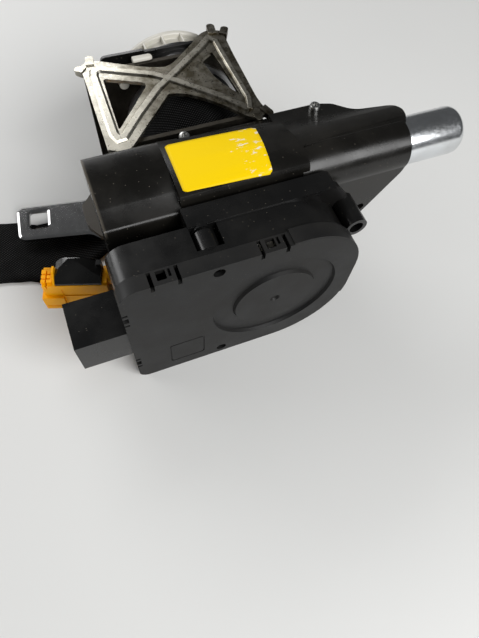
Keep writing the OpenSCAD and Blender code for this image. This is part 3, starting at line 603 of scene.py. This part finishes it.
class RETRACTOR_OT_housing(bpy.types.Operator):
    """Moulds the pretensioner housing, its label pad, label and screws"""
    bl_idname = "retractor.housing"
    bl_label = "Pretensioner housing"

    def execute(self, context):
        front, back = HOUSING_FRONT, HOUSING_BACK
        left, right, floor = HOUSING_LEFT, HOUSING_RIGHT, HOUSING_FLOOR
        ty, tz = TUBE
        ax, az = AXIS
        outline = [(left, floor), (-6, floor), (18.6, 46), (right, 78), (right, 88), (left, 88)]
        inner = [(left + 3, floor + 3), (-8, floor + 3), (15.5, 47), (32.5, 72.6), (left + 3, 72.6)]
        shoulder = [(front, 85), (front, 90.6), (front + 9.5, 95), (front + 10.3, 95.8), (front + 19, 98.3),
                    (front + 20, 98.9), (back - 9.6, 99.3), (back - 7.6, 95.6), (back, 85)]
        ledge = [(front, 85), (front, 90.6), (front + 6, 92.2), (front + 12, 92.2), (front + 12, 85)]
        section = [(ty, 84), (ty, 98.8), (ty + 5, 98.7), (ty + 10, 97.6), (ty + 15, 95.9), (ty + 19, 94),
                   (ty + 25, 92.4), (back - 1, 91.6), (back - 1, 84)]
        plan = [(-24, ty - 1), (right, ty - 1), (42.4, -61.5), (43, -55), (40.5, -50.2), (22, -46.8), (12.3, -37.4),
                (4, -34.6), (-24, -34.6)]
        seam = [(ty + 1.2, 97), (ty + 1.4, 99.05), (ty + 2, 99.05), (ty + 2.2, 97)]
        sheath = joined(
            combine("INTERSECT", prism("X", section, -24, 44),
                    prism("Z", plan, 83, 101, {2: 4, 3: 3, 4: 4, 5: 3, 6: 1.5, 7: 2})),
            prism("X", seam, -18, 37.6))
        shell = joined(
            prism("Y", outline, front, back, {1: 4, 2: 3, 3: 3}),
            prism("X", shoulder, left, left + 37, {1: 1.6, 6: 1.5}),
            prism("X", ledge, -90, -14, {1: 1.6}),
            pad_shape(),
            rod("X", ty, tz, -24, right, 14.0, 72),
            sheath)
        shell = cut(
            shell,
            prism("Y", inner, front + 3, back + 1),
            rod("X", ty, tz, -26.05, 40, 12.65),
            rod("X", ty, tz, -121.5, -25, 10.8),
            rod("Y", ax, az, ty - 6, ty + 6, 33.4),
            rod("Y", ax, az, front - 1, front + 4, 6.4),
            rod("Y", 18, 54.6, front - 1, front + 4, 2.7),
            rod("X", ty, SOCKET_Z, left - 2, left + 5, 8.4),
            prism("Z", [(13.5, -37.4), (22, -46.8), (45, -49.6), (45, -30), (13.5, -30)], 75, 102, {1: 3}),
            block(-76, -67, -42.1, -30, 92, 110))
        piece("housing_moulding", shell, "housing_nylon", nodes=["pretensioner_housing"],
              edge=sizes().plastic_edge)
        bolt = [(80, 0), (80, 1.5), (92, 1.5), (92, 2.9), (93.6, 2.9), (94.4, 2.4), (94.6, 1.4), (93.4, 1.2),
                (93.4, 0)]
        heads = [turned("Z", x, -38.1, bolt, 32) for x in (-71.5, 1.5)]
        piece("housing_screw_heads", gathered(*heads), "ground_steel", nodes=["housing_screws"])
        film = bmesh.new()
        bmesh.ops.create_grid(film, x_segments=24, y_segments=24, size=0.5)
        for vertex in film.verts:
            u, v = vertex.co.xy
            x = LABEL_AT[0] + u * (LABEL_SIZE[0] + 4.8 * v) + v * 2.6
            y = LABEL_AT[1] + v * LABEL_SIZE[1] - u * 1.4 + 3.6 * (u + 0.5) * (v + 0.5)
            vertex.co = (x, y, pad_height(x, y) + 0.06)
        for vertex in [v for v in film.verts if len(v.link_faces) == 1]:
            inward = [-0.6 if a > b else 0.6 for a, b in zip(vertex.co.xy, LABEL_AT)]
            vertex.co += Vector((*inward, 0))
        sheet = piece("label_sheet", film, "polyester_label", nodes=["label"])
        thick = sheet.modifiers.new("film", "SOLIDIFY")
        thick.thickness = sizes().label_thickness
        thick.offset = 1.0
        return {"FINISHED"}


class RETRACTOR_OT_tube(bpy.types.Operator):
    """Draws the closed steel tube"""
    bl_idname = "retractor.tube"
    bl_label = "Pretensioner tube"

    def execute(self, context):
        ty, tz = TUBE
        outside = [(-26, 10.8), (-26, 12.6), (36, 12.6), (69, 12.6), (70.5, 12.4), (72, 11.6), (73.2, 10.2),
                   (73.8, 8.6), (74, 7), (74, 0)]
        inside = [(68, 0), (68, 10.8), (-26, 10.8)]
        shape = turned("X", ty, tz, outside + inside, 96)
        piece("drawn_tube", shape, "bright_zinc_tube", nodes=["pretensioner_tube"])
        return {"FINISHED"}


# The gearbox

def case_outline(inset):
    """The gearbox seen from the front: straight on the left, round on the right."""
    points = [(LID_LEFT + inset, inset)]
    for x, z, r, start in ((-45, 40, 40, -90), (-41, 59, 36, 0)):
        points += [(x + (r - inset) * math.cos(math.radians(a)), z + (r - inset) * math.sin(math.radians(a)))
                   for a in range(start, start + 91, 6)]
    return points + [(LID_LEFT + inset, LID_TOP - inset)]


class RETRACTOR_OT_gearbox(bpy.types.Operator):
    """Moulds the gearbox lid and case with its bosses, clips and connector shroud"""
    bl_idname = "retractor.gearbox"
    bl_label = "Gearbox"

    def execute(self, context):
        front, back = LID_FRONT, LID_BACK
        lid = joined(
            prism("Y", case_outline(0), front, back, {0: 6.5, -1: 10}, 10),
            combine("INTERSECT", prism("Y", case_outline(-1.0), front + 0.1, front + 8.6),
                    prism("Y", rect(-46, 2, 30, 99), front - 1, back + 2, {3: 2.5})))
        panel = cut(prism("Y", rect(-109, -89, 8.5, 29.5), front - 1, front + 0.5, each(2)),
                    prism("Y", rect(-108.2, -89.8, 9.3, 28.7), front - 2, front + 1, each(1.4)))
        clips = []
        for x in (-106, -55):
            clips += [block(x + a, x + b, front + c, front + d, z, 99) for a, b, c, d, z in (
                (-7, -5.2, -1, 7.5, 91), (5.2, 7, -1, 7.5, 91), (-3.2, 1.2, 2.2, 7, 91), (2.2, 3.4, 3, 7, 93))]
        for z in (21, 72):
            clips += [block(-130, -125.4, front - 1, front + 6, z + a, z + b)
                      for a, b in ((-5.5, -4), (-2, 2), (4, 5.5))]
        lid = cut(
            lid, panel,
            prism("Y", case_outline(2.5), front + 2.5, back + 1, {0: 4, -1: 4}),
            *[turned("Y", *LID_DISC, [(front + a, r) for a, r in profile], steps) for steps, profile in (
                (96, ((-0.5, 22.2), (-0.5, 35), (1.8, 34), (1.8, 23.2), (-0.5, 22.2))),
                (32, ((-0.5, 0), (-0.5, 3), (1.3, 1.9), (1.3, 0))))],
            *[rod("Y", x, z, front - 1, front + 4, 2.9, 32) for x, z in LID_SCREWS],
            block(-129, -123, front + 3.3, back + 1, 28.5, 53.3), *clips)
        piece("gearbox_lid", lid, "lid_nylon", nodes=["gearbox_cover"], edge=sizes().plastic_edge)
        head = [(front + a, r) for a, r in ((3.4, 0), (3.4, 1.2), (2.9, 1.5), (3.1, 2.6), (6, 2.75), (6, 0))]
        screws = [turned("Y", x, z, head, 24) for x, z in LID_SCREWS]
        piece("gearbox_screw_heads", gathered(*screws), "black_oxide", nodes=["gearbox_screws"])

        flange = [(-88.5, 62), (-8, 62), (-3, 71), (0.6, 78), (-3.4, 84), (-12, 95.3), (-88.5, 95.3)]
        case = joined(
            prism("Y", case_outline(0.35), back, CASE_BACK, {0: 6.8, -1: 10.3}, 10),
            prism("Y", flange, CASE_BACK - 0.5, CASE_BACK + 3, {3: 3, 4: 3, 5: 2}),
            prism("Y", [(-88.5, 84), (-6, 84), (-13, 95.3), (-88.5, 95.3)], CASE_BACK - 1, HOUSING_FRONT - 0.8,
                  {2: 2}),
            block(-154, -125.5, front + 3.3, front + 29.7, 28.5, 53.3),
            block(-93, -73, -108, CASE_BACK - 0.4, 84, 93),
            rod("Y", -5.4, 79.2, -108.6, CASE_BACK + 2, 5.8),
            rod("Y", -28, 8, -106.5, HOUSING_FRONT, 5),
            block(-14, -6, -104, CASE_BACK, 73.5, 76.5))
        case = cut(
            case,
            prism("Y", case_outline(2.5), back - 1, CASE_BACK - 2.5, {0: 4, -1: 4}),
            block(-155, -130.5, front + 5.5, front + 27.5, 30.7, 51.1),
            block(-88.4, -75.3, -106.3, CASE_BACK - 1.2, 86, 97),
            rod("Y", *AXIS, CASE_BACK - 5, CASE_BACK + 10, 6.4),
            rod("Y", -5.4, 79.2, -109.5, -97, 3.7, 32),
            rod("Y", -28, 8, -107.5, -95.5, 2.4, 32),
            *[block(-131, -123, y - 0.5, y + 0.5, z - 0.5, z + 0.5) for y in (-104.5, -97.5) for z in (36, 45)])
        neck = [(-106.2, 0), (-106.2, 5.5), (-96.2, 5.5), (-96, 4.6), (-95, 4.6), (-94.8, 5.6), (-92, 5.6), (-92, 0)]
        pillar = turned("Y", -82.2, 90, neck, 48)
        piece("gearbox_shell", gathered(case, pillar), "gearbox_nylon", nodes=["gearbox_case"],
              edge=sizes().plastic_edge)
        return {"FINISHED"}


# The tie plate and the far covers

def strip(points, width):
    """The outline of a band of that width along a line."""
    sides = ([], [])
    for i, here in enumerate(points):
        ahead = Vector(points[min(i + 1, len(points) - 1)]) - Vector(here)
        behind = Vector(here) - Vector(points[max(i - 1, 0)])
        way = (ahead.normalized() + behind.normalized()).normalized()
        lean = way.dot((ahead if ahead.length else behind).normalized())
        across = Vector((-way.y, way.x)) * width / 2 / max(lean, 0.6)
        sides[0].append(tuple(Vector(here) + across))
        sides[1].append(tuple(Vector(here) - across))
    return sides[0] + sides[1][::-1]


def bead(points, width, low, high):
    """A pressed bead along a line, with sloping flanks."""
    foot, crown = strip(points, width), strip(points, width * 0.5)
    shape = prism("Z", foot, low, high)
    for vertex in shape.verts:
        if vertex.co.z > (low + high) / 2:
            index = min(range(len(foot)), key=lambda i: math.dist(foot[i], vertex.co.xy))
            vertex.co.xy = crown[index]
    return shape


def stub(x0, y0, x1, y1, r):
    """A rounded finger of a forked corner, from its root to its tip."""
    turn = math.atan2(y1 - y0, x1 - x0)
    tip = [(x1 + r * math.cos(turn + math.radians(a)), y1 + r * math.sin(turn + math.radians(a)))
           for a in range(-90, 91, 15)]
    root = [(x0 + r * math.cos(turn + a), y0 + r * math.sin(turn + a)) for a in (math.pi / 2, -math.pi / 2)]
    shape = prism("Z", tip + root, TIE_TOP - 3.1, TIE_TOP + 1.2)
    for vertex in shape.verts:
        if vertex.co.z > TIE_TOP:
            vertex.co.z -= 1.5 * math.dist((x0, y0), vertex.co.xy) / (math.dist((x0, y0), (x1, y1)) + r)
    return shape


class RETRACTOR_OT_frame(bpy.types.Operator):
    """Presses the tie plate with its rims and forked corners"""
    bl_idname = "retractor.frame"
    bl_label = "Steel frame"

    def execute(self, context):
        tx = TIE_X
        outline = [(-109.5, -32), (-109.3, -27.5), (-108.2, 24), (-109, 31), (-104.5, 35), (-98.5, 34), (-72.5, 20.5),
                   (-61.5, 18.2), (-45, 32), (-34.5, 41.6), (-29, 42), (-22.6, 39.6), (-22.9, 30), (-23.4, 20),
                   (-24, -22), (-22.2, -30), (-26.5, -33.5), (-33, -32), (-46, -15.5), (-62, -2.8), (-68.5, -2.4),
                   (-83.5, -18.5), (-98.5, -35), (-104.5, -34.5)]
        curves = {3: 2, 4: 2, 5: 3, 6: 8, 7: 6, 8: 8, 9: 3, 10: 2, 11: 2, 13: 4, 14: 6, 15: 2, 16: 2, 17: 3, 18: 8,
                  19: 8, 20: 6, 21: 6, 22: 3}
        plate = prism("Z", outline, TIE_TOP - 2, TIE_TOP, curves)
        left = [(-99, 19), (-76.5, 9), (-100.6, -20.6)]
        right = [(-42.8, 18.2), (-34.4, 24), (-31.6, -14.6), (-39.8, 0.5)]
        plate = cut(plate, prism("Z", left, 80, 95, {0: 2, 1: 4, 2: 2}),
                    prism("Z", right, 80, 95, {0: 2, 1: 3, 2: 2, 3: 6}))
        crown = TIE_TOP + sizes().rim_height / MM
        rims = [bead(points, width, TIE_TOP - 0.3, crown + step) for points, width, step in (
            ([(-103, 22), (-102, 25.6), (-98.8, 26.6), (-72, 14.4), (-63.5, 7.4), (-41.5, -13.4), (-31, -26.5)],
             6.0, 0),
            ([(-31.5, 36), (-39.7, 28.6), (-65.4, 8.6), (-73, 3), (-88, -12.6), (-99.5, -26), (-102.5, -26.4),
              (-103.8, -23), (-103, 22)], 6.0, 0.07),
            ([(-33, 34.5), (-29.6, 31), (-29.2, 10), (-28.4, -18), (-31, -26.5)], 4.4, 0.14))]
        stubs = [stub(tx + a, b, tx + c, d, r) for a, b, c, d, r in (
            (-36.4, 31, -35.4, 37.4, 2.3), (-40.5, 28, -43, 30.5, 2.3), (37.6, 38, 38.9, 45.6, 2.4),
            (43.4, 36, 46.2, 41.2, 2.3), (38, -30, 38.2, -32.6, 2.2), (42.6, -27, 45, -31.4, 2.2))]
        flange = [prism("Y", [(tx + 38.8, 88.4), (tx + 41.6, 88.4), (tx + 41.6 + d * 0.38, 88 - d),
                              (tx + 38.8 + d * 0.42, 88 - d)], y0, y1)
                  for d, y0, y1 in ((11.5, -26.6, 7.5), (6, 7.5, 26.6))]
        piece("tie_plate_pressing", gathered(plate, *rims, *stubs, *flange), "zinc_sheet",
              nodes=["tie_plate"], edge=sizes().steel_edge, steps=3, sharp=18)
        return {"FINISHED"}


class RETRACTOR_OT_covers(bpy.types.Operator):
    """Moulds the black lock cover and the white ribbed spring cover on the far side"""
    bl_idname = "retractor.covers"
    bl_label = "Far covers"

    def execute(self, context):
        ax, az = AXIS
        near, far = LOCK_NEAR, LOCK_FAR
        top = [(ax - 44, az + 18), (ax + 12, az + 18), (ax + 12, 89.6), (ax - 18.5, 89.6), (ax - 19.5, 90.6),
               (ax - 44, 90.6)]
        foot = [(ax - 35, 5.5), (ax + 35, 5.5), (ax + 35, 15.5), (ax + 27, 25.5), (ax - 27, 25.5), (ax - 35, 15.5)]
        cup = joined(rod("Y", ax, az, near, far, 40.1, 96), prism("Y", top, 34.5, 36.4, {2: 2, 5: 3}),
                     prism("Y", foot, near, far, {0: 4, 1: 4, 2: 4, 5: 4}))
        cup = cut(cup, rod("Y", ax, az, 28, 38.3, 37.9, 96), rod("Y", ax, az, 30, 42, 12),
                  *[rod("Y", ax + x, 10.5, 28, 42, 1.8, 24) for x in (-30, 30)])
        piece("lock_cover_moulding", cup, "gearbox_nylon", nodes=["lock_cover"],
              edge=sizes().plastic_edge)
        wall = [(far, 32.6), (far, 38.3), (42, 38.3), (42, 34.8), (51.6, 34.8), (51.6, 37.4), (52.4, 38.2), (54, 38.2),
                (55.1, 37.5), (55.5, 36.3), (55.5, 30), (54.6, 29), (54.6, 11), (55.5, 10), (55.5, 0), (53.3, 0),
                (53.3, 32.6), (far, 32.6)]
        drum = turned("Y", ax, az, wall, 120)
        ribs = []
        for n in range(20):
            turn = 2 * math.pi * (n + 0.3) / 20
            c, d = math.cos(turn), math.sin(turn)
            wedge = [(ax + r * c - w * d, az + r * d + w * c)
                     for r, w in ((34.3, -1), (38, -0.6), (38, 0.6), (34.3, 1))]
            ribs.append(prism("Y", wedge, 41, 52.4))
        piece("spring_cover_moulding", gathered(drum, *ribs), "white_acetal", nodes=["spring_cover"],
              edge=sizes().steel_edge)
        barrel = [(-79.5, 0), (-79.5, 1.6), (-79.1, 2), (-69.6, 2), (-68.4, 1.5), (-67.9, 0.8), (-67.8, 0)]
        clip = turned("X", 31.2, 88.2, barrel, 24)
        peg = turned("Y", -86.9, 78.9, [(27, 0), (27, 3), (24.4, 2.8), (23.8, 2), (23.8, 0)], 24)
        piece("cover_pegs", gathered(clip, peg), "white_acetal", edge=sizes().label_thickness)
        return {"FINISHED"}


# The belt and its tongue

TAIL = [(-54.5, 12.5), (-113, 12.4), (-115.8, 11.8), (-118.6, 9.6), (-121.4, 5.6), (-124.6, 2.6), (-129.5, 1.1),
        (-138, 0.8), (-303, 0.9), (-310, 2.4), (-314, 6), (-314, 11), (-310, 14.6), (-302, 15.4), (-288, 12.6),
        (-270, 8.2), (-254, 6.2), (-238.8, 5.75), (-237, 5.2), (-236.2, 3.85), (-237, 2.5), (-238.8, 1.95),
        (-266, 1.95)]


def tail_shift(point):
    """How far the loose belt lies to one side of the frame's middle."""
    total = 0.0
    for shift, start, reach in ((-16.0, -106, 50), (7.0, -160, 18), (4.0, -176, 18), (5.0, -194, 60)):
        t = min(max((start - point[0]) / reach, 0.0), 1.0)
        total += shift * (t * t * (3 - 2 * t))
    return total


def smooth_path(points, parts):
    """A finer path through the same points."""
    result = []
    for i in range(len(points) - 1):
        a, b, c, d = (Vector(points[min(max(i + k, 0), len(points) - 1)]) for k in (-1, 0, 1, 2))
        reach = (c - b).length
        m0, m1 = (c - a).normalized() * reach, (d - b).normalized() * reach
        count = max(parts, int(reach / 6))
        for n in range(count):
            t = n / count
            result.append(tuple(b * (2 * t ** 3 - 3 * t ** 2 + 1) + m0 * (t ** 3 - 2 * t ** 2 + t)
                                + c * (-2 * t ** 3 + 3 * t ** 2) + m1 * (t ** 3 - t ** 2)))
    return result + [points[-1]]


class RETRACTOR_OT_webbing(bpy.types.Operator):
    """Winds the webbing on the spool and lays its loose end on the table"""
    bl_idname = "retractor.webbing"
    bl_label = "Webbing"

    def execute(self, context):
        ax, az = AXIS
        half = sizes().web_width / MM / 2
        side = [(half, 16), (half, 20), (half - 0.4, 21), (half, 22), (half - 0.4, 25), (half, 26),
                (half, ROLL_RADIUS - 0.8), (half - 0.6, ROLL_RADIUS)]
        roll = turned("Y", ax, az, [(-a, r) for a, r in side] + side[::-1] + [(-half, 16)], 128)
        wound = piece("wound_webbing", roll, "belt_webbing", "spool", ["webbing_roll"])

        def round_the_spool(point, polygon):
            """Measures along the outermost turn, without a jump inside a face."""
            facing = math.atan2(polygon.center.z - az * MM, polygon.center.x - ax * MM)
            angle = math.atan2(point.z - az * MM, point.x - ax * MM)
            angle += 2 * math.pi * round((facing - angle) / (2 * math.pi))
            return angle * ROLL_RADIUS * MM, point.y
        cloth_uv(wound, round_the_spool)

        path = smooth_path(TAIL, 4)
        shape = bmesh.new()
        first = [shape.verts.new((path[0][0], y, path[0][1])) for y in (-half, half)]
        front = [shape.edges.new(first)]
        bmesh.ops.subdivide_edges(shape, edges=front, cuts=7)
        front = shape.edges[:]
        bmesh.ops.translate(shape, verts=shape.verts, vec=(0, tail_shift(path[0]), 0))
        for before, here in zip(path, path[1:]):
            grown = bmesh.ops.extrude_edge_only(shape, edges=front)["geom"]
            verts = [g for g in grown if isinstance(g, bmesh.types.BMVert)]
            front = [g for g in grown if isinstance(g, bmesh.types.BMEdge)
                     and all(v in verts for v in g.verts)]
            bmesh.ops.translate(shape, verts=verts,
                                vec=(here[0] - before[0], tail_shift(here) - tail_shift(before), here[1] - before[1]))
        bmesh.ops.recalc_face_normals(shape, faces=shape.faces)
        lay = piece("loose_webbing", shape, "belt_webbing", nodes=["webbing_tail"], sharp=60)
        run = [0.0]
        for before, here in zip(path, path[1:]):
            run.append(run[-1] + math.dist(before, here))

        def along_the_belt(point, polygon):
            """Measures along the path to its nearest point."""
            x, z = point.x / MM, point.z / MM
            index = min(range(len(path)), key=lambda i: math.dist(path[i], (x, z)))
            return run[index] * MM, point.y - tail_shift(path[index]) * MM
        cloth_uv(lay, along_the_belt)
        thick = lay.modifiers.new("thickness", "SOLIDIFY")
        thick.thickness = sizes().web_thickness
        thick.offset = 0.0
        return {"FINISHED"}


class RETRACTOR_OT_tongue(bpy.types.Operator):
    """Stamps the bright tongue and moulds the insert around its slot"""
    bl_idname = "retractor.tongue"
    bl_label = "Tongue"

    def execute(self, context):
        plate = [(-171.4, 20.6), (-127.6, 13.4), (-121, 15.4), (-116.5, 27.5), (-108, 28.5), (-108, -28.5),
                 (-119.5, -27.5), (-125, -20.5), (-130, -14.8), (-174.4, -5.6)]
        blade = prism("Z", plate, 5, 7.1, {0: 4.5, 1: 3, 2: 4, 3: 6, 4: 3, 5: 3, 6: 6, 7: 4, 8: 3, 9: 4.5}, 8)
        latch = [(-164.2, 14.6), (-152.8, 12.9), (-155, -0.6), (-166.4, 1.4)]
        slot = [(-123.6, -25), (-112.5, -25.4), (-112.5, 25.4), (-123.6, 25)]
        blade = cut(blade, prism("Z", latch, 3, 10, each(1.8)), prism("Z", slot, 3, 10, each(3)))
        top = [face for face in blade.faces if face.normal.z > 0.9]
        bmesh.ops.inset_region(blade, faces=top, thickness=1.5, depth=0.8, use_even_offset=True)
        piece("tongue_stamping", blade, "chromium_plate", nodes=["tongue_plate"],
              edge=sizes().tongue_edge, steps=3, sharp=15)
        lip = [(-131.6, -2), (-130.9, -9), (-128.6, -15), (-122.8, -24.6), (-110, -26.4), (-110, 26.4), (-117.5, 24.6),
               (-123.4, 13.4), (-130.6, 7)]
        mouth = [(-122.6, -24.2), (-113, -24.8), (-113, 24.8), (-122.6, 24.2)]
        insert = cut(prism("Z", lip, 7.6, 10.8, {0: 8, 1: 8, 2: 5, 3: 5, 4: 3, 5: 3, 6: 5, 7: 5, 8: 5}),
                     prism("Z", mouth, 6, 12, each(3)))
        piece("tongue_moulding", insert, "insert_nylon", nodes=["tongue_cover"],
              edge=sizes().plastic_edge, steps=3)
        return {"FINISHED"}


class RETRACTOR_OT_plug(bpy.types.Operator):
    """Moulds the yellow squib plug and its black slide lock"""
    bl_idname = "retractor.plug"
    bl_label = "Squib plug"

    def execute(self, context):
        slip = Matrix.Rotation(sizes().plug_turn, 3, "Z")
        pivot = Vector((HOUSING_LEFT - 7.5, TUBE[0] - 1, 0))

        def laid(shape):
            """A shape drawn left of the origin, put where the plug leaves its socket."""
            bmesh.ops.rotate(shape, cent=(0, 0, 0), matrix=slip, verts=shape.verts)
            bmesh.ops.translate(shape, vec=pivot, verts=shape.verts)
            return shape

        tab = [(-6, 38), (-6, 41), (-0.6, 46), (3, 46), (3, 38)]
        body = joined(
            block(-31.5, 3, -6.2, 6, 21, 39.9),
            block(-33.6, -22, -8, 4, 18.5, 30),
            block(-31.8, -26, -4.4, 3.6, 30, 41.6),
            prism("X", tab, -25.5, -24.4),
            block(1, 3, -5, 4, 38, 41.2))
        body = cut(
            body, *[block(-34, -27, v, v + 0.9, 36.2, 43) for v in (-2.6, 0.2)],
            block(-32.6, -30.8, -8, 8, 33.2, 34), block(-29.6, -28.8, -9, 4, 37.4, 43),
            prism("Y", rect(-22, -4, 29.5, 37), -7, -5.7, each(1)),
            block(-35, -22, -8.6, -7.3, 21, 22))
        body = joined(laid(body), rod("X", TUBE[0], SOCKET_Z, -129.1, -122.6, 5.2))
        piece("squib_plug_moulding", body, "plug_polyester", nodes=["squib_plug"],
              edge=sizes().steel_edge)
        face = [(-5.8, 40), (-5.6, 41.4), (0, 45.4), (5.8, 49), (7.2, 47.4), (7.2, 40)]
        roof = [(-24.2, 39.9), (-24.2, 43.4), (-21.5, 46.4), (-16.4, 49.1), (-10, 47.4), (-3.5, 44.8), (0.3, 43.4),
                (0.3, 39.9)]
        lock = combine("INTERSECT", prism("X", face, -26, 1), prism("Y", roof, -8, 9, {3: 1}))
        lock = joined(cut(lock, block(-22, -3, -6.6, -5.3, 42.6, 43)), block(-2.2, 0.3, 3.2, 6.4, 41, 46.4))
        piece("plug_lock_moulding", laid(lock), "gearbox_nylon", "plug_slide", ["plug_lock"],
              edge=sizes().steel_edge)
        return {"FINISHED"}


class RETRACTOR_PT_panel(bpy.types.Panel):
    """Lists the retractor's pieces, sizes and colours"""
    bl_idname = "RETRACTOR_PT_panel"
    bl_label = "Seat belt retractor"
    bl_space_type = "VIEW_3D"
    bl_region_type = "UI"
    bl_category = "Retractor"

    def draw(self, context):
        for operator in OPERATORS:
            self.layout.operator(operator.bl_idname)
        for group in (sizes(), colours()):
            box = self.layout.box()
            for key in group.__annotations__:
                box.prop(group, key)


OPERATORS = (RETRACTOR_OT_stage, RETRACTOR_OT_inner, RETRACTOR_OT_webbing, RETRACTOR_OT_housing, RETRACTOR_OT_tube,
             RETRACTOR_OT_gearbox, RETRACTOR_OT_frame, RETRACTOR_OT_covers, RETRACTOR_OT_tongue,
             RETRACTOR_OT_plug)
CLASSES = (RetractorSizes, RetractorColours) + OPERATORS + (RETRACTOR_PT_panel,)


def register():
    """Makes the classes and their settings known."""
    for group in CLASSES:
        bpy.utils.register_class(group)
    bpy.types.Scene.retractor_sizes = bpy.props.PointerProperty(type=RetractorSizes)
    bpy.types.Scene.retractor_colours = bpy.props.PointerProperty(type=RetractorColours)


def unregister():
    """Takes the settings and the classes away again."""
    del bpy.types.Scene.retractor_colours
    del bpy.types.Scene.retractor_sizes
    for group in reversed(CLASSES):
        bpy.utils.unregister_class(group)


def main():
    """Builds the stage and every piece."""
    register()
    for operator in OPERATORS:
        area, name = operator.bl_idname.split(".")
        getattr(getattr(bpy.ops, area), name)()


if __name__ == "__main__":
    main()
